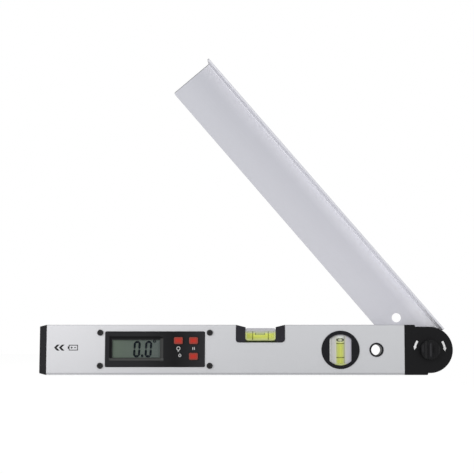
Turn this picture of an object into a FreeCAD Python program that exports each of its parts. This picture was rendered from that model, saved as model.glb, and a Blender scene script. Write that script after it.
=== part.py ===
import FreeCAD, Part
import math
import os

# Digital angle finder: an aluminium box-section body with a display, two level vials and a
# hinge with an angle sensor, and an L-section arm that swings from closed to 225 degrees.
# Millimetres. X runs along the body, the front faces -Y, and the body stands on Z = 0.
# The origin is the middle of the extrusion's bottom face.

# Body extrusion: the front wall stands higher than the box behind it
BODY_LENGTH = 358.0
BODY_HEIGHT = 50.0
BODY_DEPTH = 21.0
FACE_WALL = 2.0
WEB_WALL = 1.5
BOX_DROP = 2.0
EDGE_ROUND = 0.8
INNER_ROUND = 0.6

# Clearances, and how far a cut runs past the faces that it opens
FIT_GAP = 0.15
RUN_GAP = 0.05
SLIDE_GAP = 0.2
PAST = 1.0

# Hinge and arm
HINGE_NECK = 2.2
ARM_LENGTH = 371.0
ARM_PLATE = 2.5
ARM_FLANGE = 2.0
ARM_BACK_GAP = 0.5
ARM_BASE_GAP = 1.2
FLANGE_START = 6.0
FLANGE_GAP = 0.4
ARM_HOLE_ALONG = 44.8
ARM_HOLE_ACROSS = -2.0
ARM_HOLE_RADIUS = 4.75
ARM_INNER_ROUND = 1.0
ARM_EDGE_ROUND = 0.5
ARM_TIP_ROUND = 1.8
REST_ANGLE = 49.3
OPEN_LIMIT = 225.0
STOP_GAP = 0.2

# Hinge housing and its cover plate
HOUSING_WALL = 2.0
HOUSING_FLOOR = 3.0
COVER_PROUD = 0.6
COVER_EDGE = 0.5
COVER_TOP_LIP = 10.1
COVER_TOP_STEP = 0.9
COVER_FOOT_SETBACK = 2.4
COVER_LAP = 0.1
COVER_NOTCH_RISE = 3.3
COVER_NOTCH_RUN = 1.4
COVER_NOTCH_WIDTH = 1.4
SPIGOT_LENGTH = 15.5
SPIGOT_WALL = 2.0
CABLE_PORT_WIDTH = 6.0
COVER_SCREW_RADIUS = 1.0
COVER_SCREW_HEAD = 2.1
COVER_SCREW_HEAD_DEPTH = 1.8
COVER_SCREW_BITE = 1.8
COVER_POST_RADIUS = 2.6
COVER_POST_SETBACK = 3.0
COVER_POST_END = 4.4
COVER_POST_EDGE = 4.2
HOUSING_SCREW_SETBACK = 8.0
HOUSING_SCREW_SPREAD = 11.0
HOUSING_SCREW_RADIUS = 1.5
HOUSING_SCREW_HEAD = 2.8
HOUSING_SCREW_LENGTH = 8.0
HOUSING_POST_RADIUS = 3.2

# Bearing, sensor and clamp
BOLT_RADIUS = 2.5
BOLT_HEAD_RADIUS = 4.75
BOLT_HEAD_HEIGHT = 2.5
BOLT_HEAD_EDGE = 0.8
BOLT_SOCKET = 2.0
HUB_RADIUS = 8.0
HUB_BORE_GAP = 0.3
HUB_FLANGE_RADIUS = 16.0
HUB_FLANGE_THICK = 1.5
HUB_NOSE_RADIUS = 6.0
HUB_SCREW_CIRCLE = 12.0
HUB_SCREW_RADIUS = 1.2
HUB_SCREW_HEAD = 2.2
HUB_SCREW_HEAD_HEIGHT = 1.4
HUB_SCREW_COUNT = 4
BUSH_WALL = 1.0
BEARING_WALL = 2.5
STATOR_MARGIN = 7.5
STATOR_THICK = 1.2
STATOR_TAB_GAP = 0.6
STATOR_TAB_HEIGHT = 14.0
STATOR_TAB_WIDTH = 4.6
ROTOR_MARGIN = 9.0
ROTOR_THICK = 1.0
SENSOR_AIR_GAP = 0.6
BEARING_LENGTH = 7.1
FRICTION_INNER = 11.8
FRICTION_MARGIN = 1.5
PRESSURE_WASHER_RADIUS = 7.0
PRESSURE_WASHER_THICK = 0.7
REAR_CAP_MARGIN = 1.0
REAR_CAP_WALL = 1.5
REAR_CAP_DEPTH = 6.8
REAR_CAP_EDGE = 1.5

# Lock knob
KNOB_RADIUS = 9.75
KNOB_HEIGHT = 7.4
KNOB_BASE = 4.4
KNOB_RIDGE = 3.4
KNOB_SCOOP = 5.0
KNOB_EDGE = 0.6
KNOB_WASHER_RADIUS = 6.0
KNOB_WASHER_THICK = 0.4
INSERT_RADIUS = 4.0
INSERT_DEPTH = 3.8
THREAD_GAP = 0.05

# Display
DISPLAY_FROM_LEFT = 108.4
DISPLAY_RISE = 0.6
BEZEL_LENGTH = 99.8
BEZEL_BORDER = 7.3
BEZEL_CORNER = 1.5
BEZEL_PROUD = 0.9
BEZEL_PLATE = 1.5
BEZEL_WALL = 1.6
BEZEL_EDGE = 0.4
BOARD_SEAT = 5.1
FLANGE_THICK = 2.0
FLANGE_EDGE = 3.7
SCREW_OFFSET = 4.9
SCREW_INSET = 1.25
SCREW_HEAD_RADIUS = 3.0
SCREW_HEAD_HEIGHT = 1.9
SCREW_SHANK_RADIUS = 1.45
SCREW_LENGTH = 6.5
SCREW_BOSS_RADIUS = 3.0
SCREW_BOSS_DEPTH = 5.5
SCREW_CHAMFER_SHARE = 0.35
SCREW_SOCKET_SHARE = 0.6
SCREW_SOCKET_FLOOR_SHARE = 0.4
RECESS_LENGTH = 54.2
RECESS_FROM_LEFT = 4.3
RECESS_FROM_TOP = 4.6
RECESS_FROM_BOTTOM = 6.0
GLASS_LEFT = 2.5
GLASS_RIGHT = 3.3
GLASS_TOP = 3.6
GLASS_BOTTOM = 2.8
WINDOW_MARGIN = 1.5
WINDOW_THICK = 1.0
LCD_THICK = 1.8
BOARD_THICK = 1.6
BOARD_MARGIN = 0.3
BOARD_POST_RADIUS = 2.0
BOARD_POST_INSET = 2.1
BOARD_POST_FLOOR = 0.5
BOARD_SCREW_RADIUS = 0.9
BOARD_SCREW_HEAD = 1.9
BOARD_SCREW_HEAD_HEIGHT = 1.2
BOARD_SCREW_LENGTH = 4.6

# Parts on the circuit board, placed from its middle
CHIP_SIDE = 10.0
CHIP_HEIGHT = 1.6
CHIP_SHIFT = -9.0
CRYSTAL_LENGTH = 8.0
CRYSTAL_WIDTH = 3.0
CRYSTAL_HEIGHT = 3.0
CRYSTAL_SHIFT = 6.0
CRYSTAL_RISE = 4.5
BUZZER_RADIUS = 5.0
BUZZER_HEIGHT = 3.2
BUZZER_SHIFT = 18.0
BUZZER_RISE = -4.0

# Buttons
BUTTON_LENGTH = 9.0
BUTTON_HEIGHT = 7.0
BUTTON_CORNER = 1.5
BUTTON_PROUD = 1.6
BUTTON_RIM = 0.9
BUTTON_RIM_THICK = 0.8
BUTTON_TRAVEL = 0.7
BUTTON_EDGE = 0.6
SWITCH_SIDE = 6.0
SWITCH_HEIGHT = 2.4
PLUNGER_RADIUS = 1.7
PLUNGER_HEIGHT = 0.5
STEM_RADIUS = 2.0
BUTTON_COLUMN_LEFT = 73.5
BUTTON_COLUMN_RIGHT = 88.6
BUTTON_ROW_TOP = 9.1
BUTTON_ROW_BOTTOM = 10.6

# Top vial
TOP_VIAL_SHARE = 0.4352
TOP_HOLDER_LENGTH = 49.0
TOP_HOLDER_DROP = 17.7
TOP_HOLDER_SIDE = 9.3
TOP_HOLDER_FLOOR = 2.0
TOP_HOLDER_PROUD = 0.5
TOP_HOLDER_CORNER = 3.0
TOP_HOLDER_INNER_CORNER = 2.6
TOP_HOLDER_SLOPE = 2.3
TOP_HOLDER_LIP = 2.0
TOP_HOLDER_LIP_THICK = 1.5
TOP_HOLDER_LIP_DROP = 1.0
TOP_BLOCK_HEIGHT = 12.4
TOP_BLOCK_INSET = 0.5
TOP_BLOCK_CORNER = 1.5
TOP_TUBE_RADIUS = 4.3
TOP_TUBE_RISE = 4.95
TOP_TUBE_END = 1.4
TOP_BUBBLE_LENGTH = 9.9
TOP_BUBBLE_DEPTH = 3.0
TOP_BUBBLE_SHIFT = -0.35

# Round vial
ROUND_VIAL_FROM_RIGHT = 64.0
ROUND_RING_MARGIN = 5.9
ROUND_RING_PROUD = 0.9
ROUND_RING_EDGE = 0.55
ROUND_DRUM_INSET = 1.1
ROUND_DRUM_WALL = 2.5
ROUND_WINDOW_HALF = 10.9
ROUND_BLOCK_INSET = 1.0
ROUND_TUBE_RADIUS = 4.2
ROUND_TUBE_END = 1.3
ROUND_BUBBLE_RADIUS = 3.5
ROUND_BUBBLE_HEIGHT = 3.0
ROUND_BUBBLE_DROP = 4.1

# Hanging hole
HANG_FROM_RIGHT = 28.0
HANG_RADIUS = 5.35
GROMMET_WALL = 0.85
GROMMET_FLANGE = 7.1
GROMMET_PROUD = 0.8
GROMMET_EDGE = 0.55

# Battery drawer
CAP_LENGTH = 7.3
CAP_TAPER = 1.75
CAP_WALL = 1.8
CAP_EDGE = 1.2
CAP_SPIGOT = 5.0
CELL_RADIUS = 5.25
CELL_LENGTH = 44.5
CELL_NIPPLE_RADIUS = 1.9
CELL_NIPPLE = 1.0
CELL_PITCH = 11.0
CELL_GAP = 0.15
BRIDGE_THICK = 0.4
BRIDGE_WIDTH = 8.0
TRAY_FRONT = 3.0
TRAY_MARGIN = 1.7
RUNNER_THICK = 2.0
SPRING_LENGTH = 4.8
SPRING_HALF = 4.5
SPRING_THICK = 0.4
SPRING_WIDTH = 5.0
CONTACT_THICK = 2.0
CONTACT_MARGIN = 3.0
LEAD_RADIUS = 0.6
LEAD_LAP = 8.0

# Sensor cable
CABLE_THICK = 0.3
CABLE_WIDTH = 4.0
CABLE_LIFT = 0.6
CABLE_FROM_RIGHT = 8.3
CABLE_SETBACK = 2.0
CABLE_RISE = 8.0

# Places that follow from the sizes above
LEFT = -BODY_LENGTH / 2
RIGHT = BODY_LENGTH / 2
FRONT = -BODY_DEPTH / 2
REAR = BODY_DEPTH / 2
INNER_FRONT = FRONT + FACE_WALL
INNER_REAR = REAR - FACE_WALL
BOX_TOP = BODY_HEIGHT - BOX_DROP
INNER_TOP = BOX_TOP - WEB_WALL
INNER_BOTTOM = WEB_WALL
MIDDLE = BODY_HEIGHT / 2

PIVOT_Z = MIDDLE
HINGE_RADIUS = BOX_TOP - PIVOT_Z
PIVOT_X = RIGHT + HINGE_NECK + HINGE_RADIUS
ARM_ROUND = PIVOT_Z - ARM_BASE_GAP
PLATE_FRONT = REAR + ARM_BACK_GAP
PLATE_REAR = PLATE_FRONT + ARM_PLATE
FLANGE_FRONT = INNER_FRONT + FLANGE_GAP
FLANGE_INNER = HINGE_RADIUS + FLANGE_GAP
FLANGE_OUTER = FLANGE_INNER + ARM_FLANGE

COVER_FRONT = FRONT - COVER_PROUD
HOUSING_FLOOR_FRONT = REAR - HOUSING_FLOOR
BEARING_FRONT = REAR - BEARING_LENGTH
STATOR_RADIUS = HINGE_RADIUS - STATOR_MARGIN
STATOR_TAB_LEFT = RIGHT + COVER_POST_SETBACK + COVER_POST_RADIUS + STATOR_TAB_GAP
STATOR_FRONT = BEARING_FRONT - STATOR_THICK
ROTOR_RADIUS = HINGE_RADIUS - ROTOR_MARGIN
ROTOR_REAR = STATOR_FRONT - SENSOR_AIR_GAP
ROTOR_FRONT = ROTOR_REAR - ROTOR_THICK
BUSH_RADIUS = HUB_RADIUS + RUN_GAP + BUSH_WALL
BEARING_RADIUS = BUSH_RADIUS + BEARING_WALL
FRICTION_OUTER = HINGE_RADIUS - FRICTION_MARGIN
REAR_CAP_RADIUS = HINGE_RADIUS - REAR_CAP_MARGIN
HUB_REAR = PLATE_REAR + HUB_FLANGE_THICK
PRESSURE_FRONT = HUB_REAR + RUN_GAP
BOLT_SEAT = PRESSURE_FRONT + PRESSURE_WASHER_THICK
BOLT_REAR = BOLT_SEAT + BOLT_HEAD_HEIGHT
KNOB_BACK = COVER_FRONT - KNOB_WASHER_THICK - RUN_GAP
KNOB_FRONT = KNOB_BACK - KNOB_HEIGHT
INSERT_FRONT = KNOB_BACK - INSERT_DEPTH

BEZEL_HEIGHT = BODY_HEIGHT - 2 * BEZEL_BORDER
SCREW_SPREAD = BEZEL_HEIGHT / 2 - SCREW_INSET
BEZEL_X = LEFT + DISPLAY_FROM_LEFT
BEZEL_Z = MIDDLE + DISPLAY_RISE
BEZEL_LEFT = BEZEL_X - BEZEL_LENGTH / 2
BEZEL_RIGHT = BEZEL_X + BEZEL_LENGTH / 2
BEZEL_BOTTOM = BEZEL_Z - BEZEL_HEIGHT / 2
BEZEL_TOP = BEZEL_Z + BEZEL_HEIGHT / 2
BEZEL_FRONT = FRONT - BEZEL_PROUD
POCKET_FRONT = BEZEL_FRONT + BEZEL_PLATE
BOARD_FRONT = FRONT + BOARD_SEAT
BOARD_REAR = BOARD_FRONT + BOARD_THICK
RECESS_LEFT = BEZEL_LEFT + RECESS_FROM_LEFT
RECESS_RIGHT = RECESS_LEFT + RECESS_LENGTH
RECESS_TOP = BEZEL_TOP - RECESS_FROM_TOP
RECESS_BOTTOM = BEZEL_BOTTOM + RECESS_FROM_BOTTOM
GLASS_X0 = RECESS_LEFT + GLASS_LEFT
GLASS_X1 = RECESS_RIGHT - GLASS_RIGHT
GLASS_Z0 = RECESS_BOTTOM + GLASS_BOTTOM
GLASS_Z1 = RECESS_TOP - GLASS_TOP
WINDOW_BACK = POCKET_FRONT + WINDOW_THICK
LCD_BACK = WINDOW_BACK + LCD_THICK

ROUND_RING_RADIUS = MIDDLE - ROUND_RING_MARGIN
ROUND_DRUM_RADIUS = ROUND_RING_RADIUS - ROUND_DRUM_INSET
ROUND_WINDOW_RADIUS = ROUND_DRUM_RADIUS - ROUND_DRUM_WALL
ROUND_TUBE_HALF = ROUND_WINDOW_RADIUS - ROUND_TUBE_END
ROUND_X = RIGHT - ROUND_VIAL_FROM_RIGHT
DISPLAY_END = BEZEL_RIGHT + SCREW_OFFSET + FLANGE_EDGE
ROUND_START = ROUND_X - ROUND_RING_RADIUS
TOP_X = DISPLAY_END + TOP_VIAL_SHARE * (ROUND_START - DISPLAY_END)
TOP_LEFT = TOP_X - TOP_HOLDER_LENGTH / 2
TOP_RIGHT = TOP_X + TOP_HOLDER_LENGTH / 2
TOP_FLOOR = BODY_HEIGHT - TOP_HOLDER_DROP
TOP_BLOCK_LEFT = TOP_LEFT + TOP_HOLDER_SIDE
TOP_BLOCK_RIGHT = TOP_RIGHT - TOP_HOLDER_SIDE
TOP_BLOCK_BOTTOM = TOP_FLOOR + TOP_HOLDER_FLOOR
TOP_TUBE_Z = TOP_BLOCK_BOTTOM + TOP_TUBE_RISE

HANG_X = RIGHT - HANG_FROM_RIGHT
GROMMET_RADIUS = HANG_RADIUS + GROMMET_WALL

CAP_OUTER = LEFT - CAP_LENGTH
BRIDGE_OUTER = CAP_OUTER + CAP_WALL
TRAY_OUTER = BRIDGE_OUTER + BRIDGE_THICK
CELL_OUTER = TRAY_OUTER + SLIDE_GAP
CELL_INNER = CELL_OUTER + CELL_LENGTH
CONTACT_LEFT = CELL_INNER + SPRING_LENGTH + SLIDE_GAP
CONTACT_RIGHT = CONTACT_LEFT + CONTACT_THICK


def box(x0, x1, y0, y1, z0, z1):
    return Part.makeBox(x1 - x0, y1 - y0, z1 - z0, FreeCAD.Vector(x0, y0, z0))


def rod(x, z, radius, y0, y1):
    """A round bar along Y."""
    return Part.makeCylinder(radius, y1 - y0, FreeCAD.Vector(x, y0, z), FreeCAD.Vector(0, 1, 0))


def ring(x, z, inner, outer, y0, y1):
    return rod(x, z, outer, y0, y1).cut(rod(x, z, inner, y0 - PAST, y1 + PAST))


def bar(x0, x1, y, z, radius):
    """A round bar along X."""
    return Part.makeCylinder(radius, x1 - x0, FreeCAD.Vector(x0, y, z), FreeCAD.Vector(1, 0, 0))


def post(x, y, radius, z0, z1):
    """A round bar along Z."""
    return Part.makeCylinder(radius, z1 - z0, FreeCAD.Vector(x, y, z0))


def edges_along(shape, direction):
    """The straight edges of a shape that run along X, Y or Z."""
    found = []
    for edge in shape.Edges:
        if isinstance(edge.Curve, Part.Line):
            tangent = edge.tangentAt(edge.FirstParameter)
            if abs(abs(tangent.dot(direction)) - 1) < 1e-6:
                found.append(edge)
    return found


def edges_on_plane(shape, y):
    """The edges of a shape that lie wholly at one depth."""
    found = []
    for edge in shape.Edges:
        bounds = edge.BoundBox
        if abs(bounds.YMin - y) < 1e-6 and abs(bounds.YMax - y) < 1e-6:
            found.append(edge)
    return found


def edges_at_height(shape, z):
    """The straight edges along Y that lie at one height."""
    found = []
    for edge in edges_along(shape, FreeCAD.Vector(0, 1, 0)):
        if abs(edge.BoundBox.Center.z - z) < 1e-6:
            found.append(edge)
    return found


def rounded_box(x0, x1, y0, y1, z0, z1, radius):
    """A box whose four edges along Y are rounded."""
    block = box(x0, x1, y0, y1, z0, z1)
    return block.makeFillet(radius, edges_along(block, FreeCAD.Vector(0, 1, 0)))


def outline(corners, place):
    """A face from corners (u, v), or arcs (u, v, u, v) through a midpoint to an end."""
    edges = []
    last = place(corners[0][0], corners[0][1])
    first = last
    for corner in corners[1:]:
        end = place(corner[-2], corner[-1])
        if len(corner) == 4:
            edges.append(Part.Arc(last, place(corner[0], corner[1]), end).toShape())
        else:
            edges.append(Part.LineSegment(last, end).toShape())
        last = end
    edges.append(Part.LineSegment(last, first).toShape())
    return Part.Face(Part.Wire(edges))


def profile(corners, y0, y1):
    """A plate along Y from its outline in X and Z."""
    face = outline(corners, lambda x, z: FreeCAD.Vector(x, y0, z))
    return face.extrude(FreeCAD.Vector(0, y1 - y0, 0))


def section(corners, x0, x1):
    """A bar along X from its cross-section in Y and Z."""
    face = outline(corners, lambda y, z: FreeCAD.Vector(x0, y, z))
    return face.extrude(FreeCAD.Vector(x1 - x0, 0, 0))


def corner_round(y, z, radius, start, end):
    """An arc about a corner's centre, from one angle to another in degrees, for an outline."""
    middle = math.radians((start + end) / 2)
    last = math.radians(end)
    return (y + radius * math.cos(middle), z + radius * math.sin(middle),
            y + radius * math.cos(last), z + radius * math.sin(last))


def tapered_window(front, front_y, back, back_y):
    """A cut whose front and back outlines are rectangles (x0, x1, z0, z1) of different size."""
    wires = []
    for (x0, x1, z0, z1), y in ((front, front_y), (back, back_y)):
        points = [(x0, z0), (x1, z0), (x1, z1), (x0, z1), (x0, z0)]
        wires.append(Part.makePolygon([FreeCAD.Vector(x, y, z) for x, z in points]))
    return Part.makeLoft(wires, True, True)


def join(shapes):
    """One solid from shapes that overlap or share faces."""
    whole = shapes[0]
    for shape in shapes[1:]:
        whole = whole.fuse(shape)
    return whole.removeSplitter()


def group(shapes):
    return Part.makeCompound(shapes)


def screw(x, seat, z, head, head_height, shank, length, facing, socket=0.0):
    """A chamfered screw along Y: facing -1 has its head at the front, +1 at the rear."""
    head_y = sorted((seat, seat + facing * head_height))
    shank_y = sorted((seat, seat - facing * length))
    crown = rod(x, z, head, head_y[0], head_y[1])
    rim = edges_on_plane(crown, seat + facing * head_height)
    crown = crown.makeChamfer(SCREW_CHAMFER_SHARE * head_height, rim)
    solid = crown.fuse(rod(x, z, shank, shank_y[0], shank_y[1])).removeSplitter()
    if socket == 0.0:
        return solid
    floor = SCREW_SOCKET_FLOOR_SHARE * head_height
    depth = sorted((seat + facing * floor, seat + facing * (head_height + PAST)))
    wide = box(x - socket, x + socket, depth[0], depth[1], z - socket / 4, z + socket / 4)
    tall = box(x - socket / 4, x + socket / 4, depth[0], depth[1], z - socket, z + socket)
    return solid.cut(wide).cut(tall)


def export(name, shape):
    shape.exportStep("parts/" + name + ".step")


def display_screw_places():
    columns = (BEZEL_LEFT - SCREW_OFFSET, BEZEL_RIGHT + SCREW_OFFSET)
    rows = (BEZEL_Z - SCREW_SPREAD, BEZEL_Z + SCREW_SPREAD)
    return [(x, z) for x in columns for z in rows]


def board_screw_places():
    inset = BEZEL_WALL + BOARD_POST_INSET
    columns = (BEZEL_LEFT + inset, BEZEL_RIGHT - inset)
    rows = (BEZEL_BOTTOM + inset, BEZEL_TOP - inset)
    return [(x, z) for x in columns for z in rows]


def button_places():
    left = BEZEL_LEFT + BUTTON_COLUMN_LEFT
    right = BEZEL_LEFT + BUTTON_COLUMN_RIGHT
    top = BEZEL_TOP - BUTTON_ROW_TOP
    bottom = BEZEL_BOTTOM + BUTTON_ROW_BOTTOM
    return {"backlight_button": (left, top), "hold_button": (right, top), "power_button": (right, bottom)}


def cell_heights():
    return (MIDDLE - CELL_PITCH / 2, MIDDLE + CELL_PITCH / 2)


def cover_screw_places():
    neck = RIGHT + COVER_POST_SETBACK
    return [
        (neck, cable_top() + COVER_POST_RADIUS + SLIDE_GAP),
        (neck, BOX_TOP - COVER_POST_EDGE),
        (PIVOT_X + HINGE_RADIUS - COVER_POST_END, PIVOT_Z),
    ]


def housing_screw_places():
    x = RIGHT - HOUSING_SCREW_SETBACK
    return [(x, MIDDLE - HOUSING_SCREW_SPREAD), (x, MIDDLE + HOUSING_SCREW_SPREAD)]


def hub_screw_places():
    places = []
    for index in range(HUB_SCREW_COUNT):
        angle = 2 * math.pi * (index + 0.5) / HUB_SCREW_COUNT
        x = PIVOT_X + HUB_SCREW_CIRCLE * math.cos(angle)
        z = PIVOT_Z + HUB_SCREW_CIRCLE * math.sin(angle)
        places.append((x, z))
    return places


def top_holder_outline(gap, y0, y1, top):
    """The notch in the body's top edge, with two rounded lower corners."""
    left = TOP_LEFT - gap
    right = TOP_RIGHT + gap
    low = TOP_FLOOR - gap
    block = box(left, right, y0, y1, low, top)
    return block.makeFillet(TOP_HOLDER_CORNER, edges_at_height(block, low))


def round_window(y0, y1):
    """A round opening with flat left and right sides."""
    disc = rod(ROUND_X, MIDDLE, ROUND_WINDOW_RADIUS, y0, y1)
    reach = ROUND_WINDOW_RADIUS + PAST
    half = ROUND_WINDOW_HALF
    band = box(ROUND_X - half, ROUND_X + half, y0, y1, MIDDLE - reach, MIDDLE + reach)
    return disc.common(band)


def body_extrusion():
    """The box section with every opening machined through its walls."""
    face = box(LEFT, RIGHT, FRONT, INNER_FRONT, 0, BODY_HEIGHT)
    along = edges_along(face, FreeCAD.Vector(1, 0, 0))
    outer = [edge for edge in along if edge.BoundBox.YMax < FRONT + PAST or edge.BoundBox.ZMin > PAST]
    face = face.makeFillet(EDGE_ROUND, outer)
    shell = box(LEFT, RIGHT, INNER_FRONT, REAR, 0, BOX_TOP)
    along = edges_along(shell, FreeCAD.Vector(1, 0, 0))
    shell = shell.makeFillet(EDGE_ROUND, [edge for edge in along if edge.BoundBox.YMin > REAR - PAST])
    body = join([face, shell])
    hollow = box(LEFT - PAST, RIGHT + PAST, INNER_FRONT, INNER_REAR, INNER_BOTTOM, INNER_TOP)
    hollow = hollow.makeFillet(INNER_ROUND, edges_along(hollow, FreeCAD.Vector(1, 0, 0)))
    body = body.cut(hollow)
    body = body.cut(top_holder_outline(FIT_GAP, FRONT - PAST, REAR + PAST, BODY_HEIGHT + PAST))
    display = rounded_box(
        BEZEL_LEFT - FIT_GAP, BEZEL_RIGHT + FIT_GAP, FRONT - PAST, INNER_FRONT + PAST,
        BEZEL_BOTTOM - FIT_GAP, BEZEL_TOP + FIT_GAP, BEZEL_CORNER,
    )
    body = body.cut(display)
    for x, z in display_screw_places():
        body = body.cut(rod(x, z, SCREW_SHANK_RADIUS + FIT_GAP, FRONT - PAST, INNER_FRONT + PAST))
    body = body.cut(rod(ROUND_X, MIDDLE, ROUND_DRUM_RADIUS + FIT_GAP, FRONT - PAST, INNER_FRONT + PAST))
    body = body.cut(rod(ROUND_X, MIDDLE, ROUND_RING_RADIUS + FIT_GAP, INNER_REAR - PAST, REAR + PAST))
    body = body.cut(rod(HANG_X, MIDDLE, GROMMET_RADIUS + RUN_GAP, FRONT - PAST, REAR + PAST))
    for x, z in housing_screw_places():
        body = body.cut(housing_screw(x, z, FIT_GAP))
    return body


def display_bezel():
    """Front plate with its window, walls down to the board, and a flange behind the body's face."""
    shell = rounded_box(
        BEZEL_LEFT, BEZEL_RIGHT, BEZEL_FRONT, BOARD_FRONT, BEZEL_BOTTOM, BEZEL_TOP, BEZEL_CORNER
    )
    shell = shell.makeChamfer(BEZEL_EDGE, edges_on_plane(shell, BEZEL_FRONT))
    reach = SCREW_OFFSET + FLANGE_EDGE
    flange = box(
        BEZEL_LEFT - reach, BEZEL_RIGHT + reach, INNER_FRONT, INNER_FRONT + FLANGE_THICK,
        BEZEL_Z - SCREW_SPREAD - SCREW_BOSS_RADIUS, BEZEL_Z + SCREW_SPREAD + SCREW_BOSS_RADIUS,
    )
    boss_end = INNER_FRONT + SCREW_BOSS_DEPTH
    parts = [shell, flange]
    for x, z in display_screw_places():
        parts.append(rod(x, z, SCREW_BOSS_RADIUS, INNER_FRONT, boss_end))
    body = join(parts)
    pocket = box(
        BEZEL_LEFT + BEZEL_WALL, BEZEL_RIGHT - BEZEL_WALL, POCKET_FRONT, BOARD_FRONT + PAST,
        BEZEL_BOTTOM + BEZEL_WALL, BEZEL_TOP - BEZEL_WALL,
    )
    body = body.cut(pocket)
    outer = (RECESS_LEFT, RECESS_RIGHT, RECESS_BOTTOM, RECESS_TOP)
    inner = (GLASS_X0, GLASS_X1, GLASS_Z0, GLASS_Z1)
    body = body.cut(tapered_window(outer, BEZEL_FRONT, inner, POCKET_FRONT))
    for x, z in button_places().values():
        body = body.cut(button_block(x, z, SLIDE_GAP, BEZEL_FRONT - PAST, POCKET_FRONT + PAST))
    for x, z in board_screw_places():
        pillar = rod(x, z, BOARD_POST_RADIUS, POCKET_FRONT, BOARD_FRONT)
        hole = rod(x, z, BOARD_SCREW_RADIUS, POCKET_FRONT + BOARD_POST_FLOOR, BOARD_FRONT + PAST)
        body = body.fuse(pillar.cut(hole))
    for x, z in display_screw_places():
        body = body.cut(rod(x, z, SCREW_SHANK_RADIUS, INNER_FRONT - PAST, boss_end + PAST))
    return body.removeSplitter()


def display_layer(y0, y1, margin):
    return box(
        GLASS_X0 - margin, GLASS_X1 + margin, y0, y1, GLASS_Z0 - margin, GLASS_Z1 + margin
    )


def board_part(shift, rise, length, width, height):
    """A box on the rear of the circuit board, placed from the board's middle."""
    x = BEZEL_X + shift
    z = BEZEL_Z + rise
    return box(x - length / 2, x + length / 2, BOARD_REAR, BOARD_REAR + height, z - width / 2, z + width / 2)


def main_board():
    """The circuit board with its processor, crystal and cable socket on the rear."""
    board = box(
        BEZEL_LEFT + BOARD_MARGIN, BEZEL_RIGHT - BOARD_MARGIN, BOARD_FRONT, BOARD_REAR,
        BEZEL_BOTTOM + BOARD_MARGIN, BEZEL_TOP - BOARD_MARGIN,
    )
    for x, z in board_screw_places():
        board = board.cut(rod(x, z, BOARD_SCREW_RADIUS + FIT_GAP, BOARD_FRONT - PAST, BOARD_REAR + PAST))
    chip = board_part(CHIP_SHIFT, 0, CHIP_SIDE, CHIP_SIDE, CHIP_HEIGHT)
    crystal = board_part(CRYSTAL_SHIFT, CRYSTAL_RISE, CRYSTAL_LENGTH, CRYSTAL_WIDTH, CRYSTAL_HEIGHT)
    buzzer = rod(BEZEL_X + BUZZER_SHIFT, BEZEL_Z + BUZZER_RISE, BUZZER_RADIUS,
                 BOARD_REAR, BOARD_REAR + BUZZER_HEIGHT)
    x0, x1 = cable_left()
    z1 = BEZEL_BOTTOM + CABLE_RISE
    socket = box(x0, x1, BOARD_REAR, cable_front(), BEZEL_BOTTOM + BOARD_MARGIN, z1)
    return join([board, chip, crystal, buzzer, socket])


def board_screws():
    shape = (BOARD_SCREW_HEAD, BOARD_SCREW_HEAD_HEIGHT, BOARD_SCREW_RADIUS, BOARD_SCREW_LENGTH)
    return group([screw(x, BOARD_REAR, z, *shape, 1) for x, z in board_screw_places()])


def display_screws():
    shape = (SCREW_HEAD_RADIUS, SCREW_HEAD_HEIGHT, SCREW_SHANK_RADIUS, SCREW_LENGTH)
    socket = SCREW_SOCKET_SHARE * SCREW_HEAD_RADIUS
    return group([screw(x, FRONT, z, *shape, -1, socket) for x, z in display_screw_places()])


def tact_switches():
    switches = []
    half = SWITCH_SIDE / 2
    top = BOARD_FRONT - SWITCH_HEIGHT
    for x, z in button_places().values():
        can = box(x - half, x + half, top, BOARD_FRONT, z - half, z + half)
        plunger = rod(x, z, PLUNGER_RADIUS, top - PLUNGER_HEIGHT, top)
        switches.append(can.fuse(plunger).removeSplitter())
    return group(switches)


def button_block(x, z, gap, y0, y1):
    half_x = BUTTON_LENGTH / 2 + gap
    half_z = BUTTON_HEIGHT / 2 + gap
    return rounded_box(x - half_x, x + half_x, y0, y1, z - half_z, z + half_z, BUTTON_CORNER + gap)


def button(x, z):
    """A key with a rim that holds it behind the bezel's plate and a stem over its switch."""
    rim_front = POCKET_FRONT + RUN_GAP
    rim_back = rim_front + BUTTON_RIM_THICK
    stem_end = BOARD_FRONT - SWITCH_HEIGHT - PLUNGER_HEIGHT - BUTTON_TRAVEL - RUN_GAP
    front = BEZEL_FRONT - BUTTON_PROUD
    key = button_block(x, z, 0, front, rim_front)
    key = key.makeFillet(BUTTON_EDGE, edges_on_plane(key, front))
    rim = button_block(x, z, BUTTON_RIM, rim_front, rim_back)
    parts = [key, rim]
    if stem_end > rim_back:
        parts.append(rod(x, z, STEM_RADIUS, rim_back, stem_end))
    return join(parts)


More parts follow.
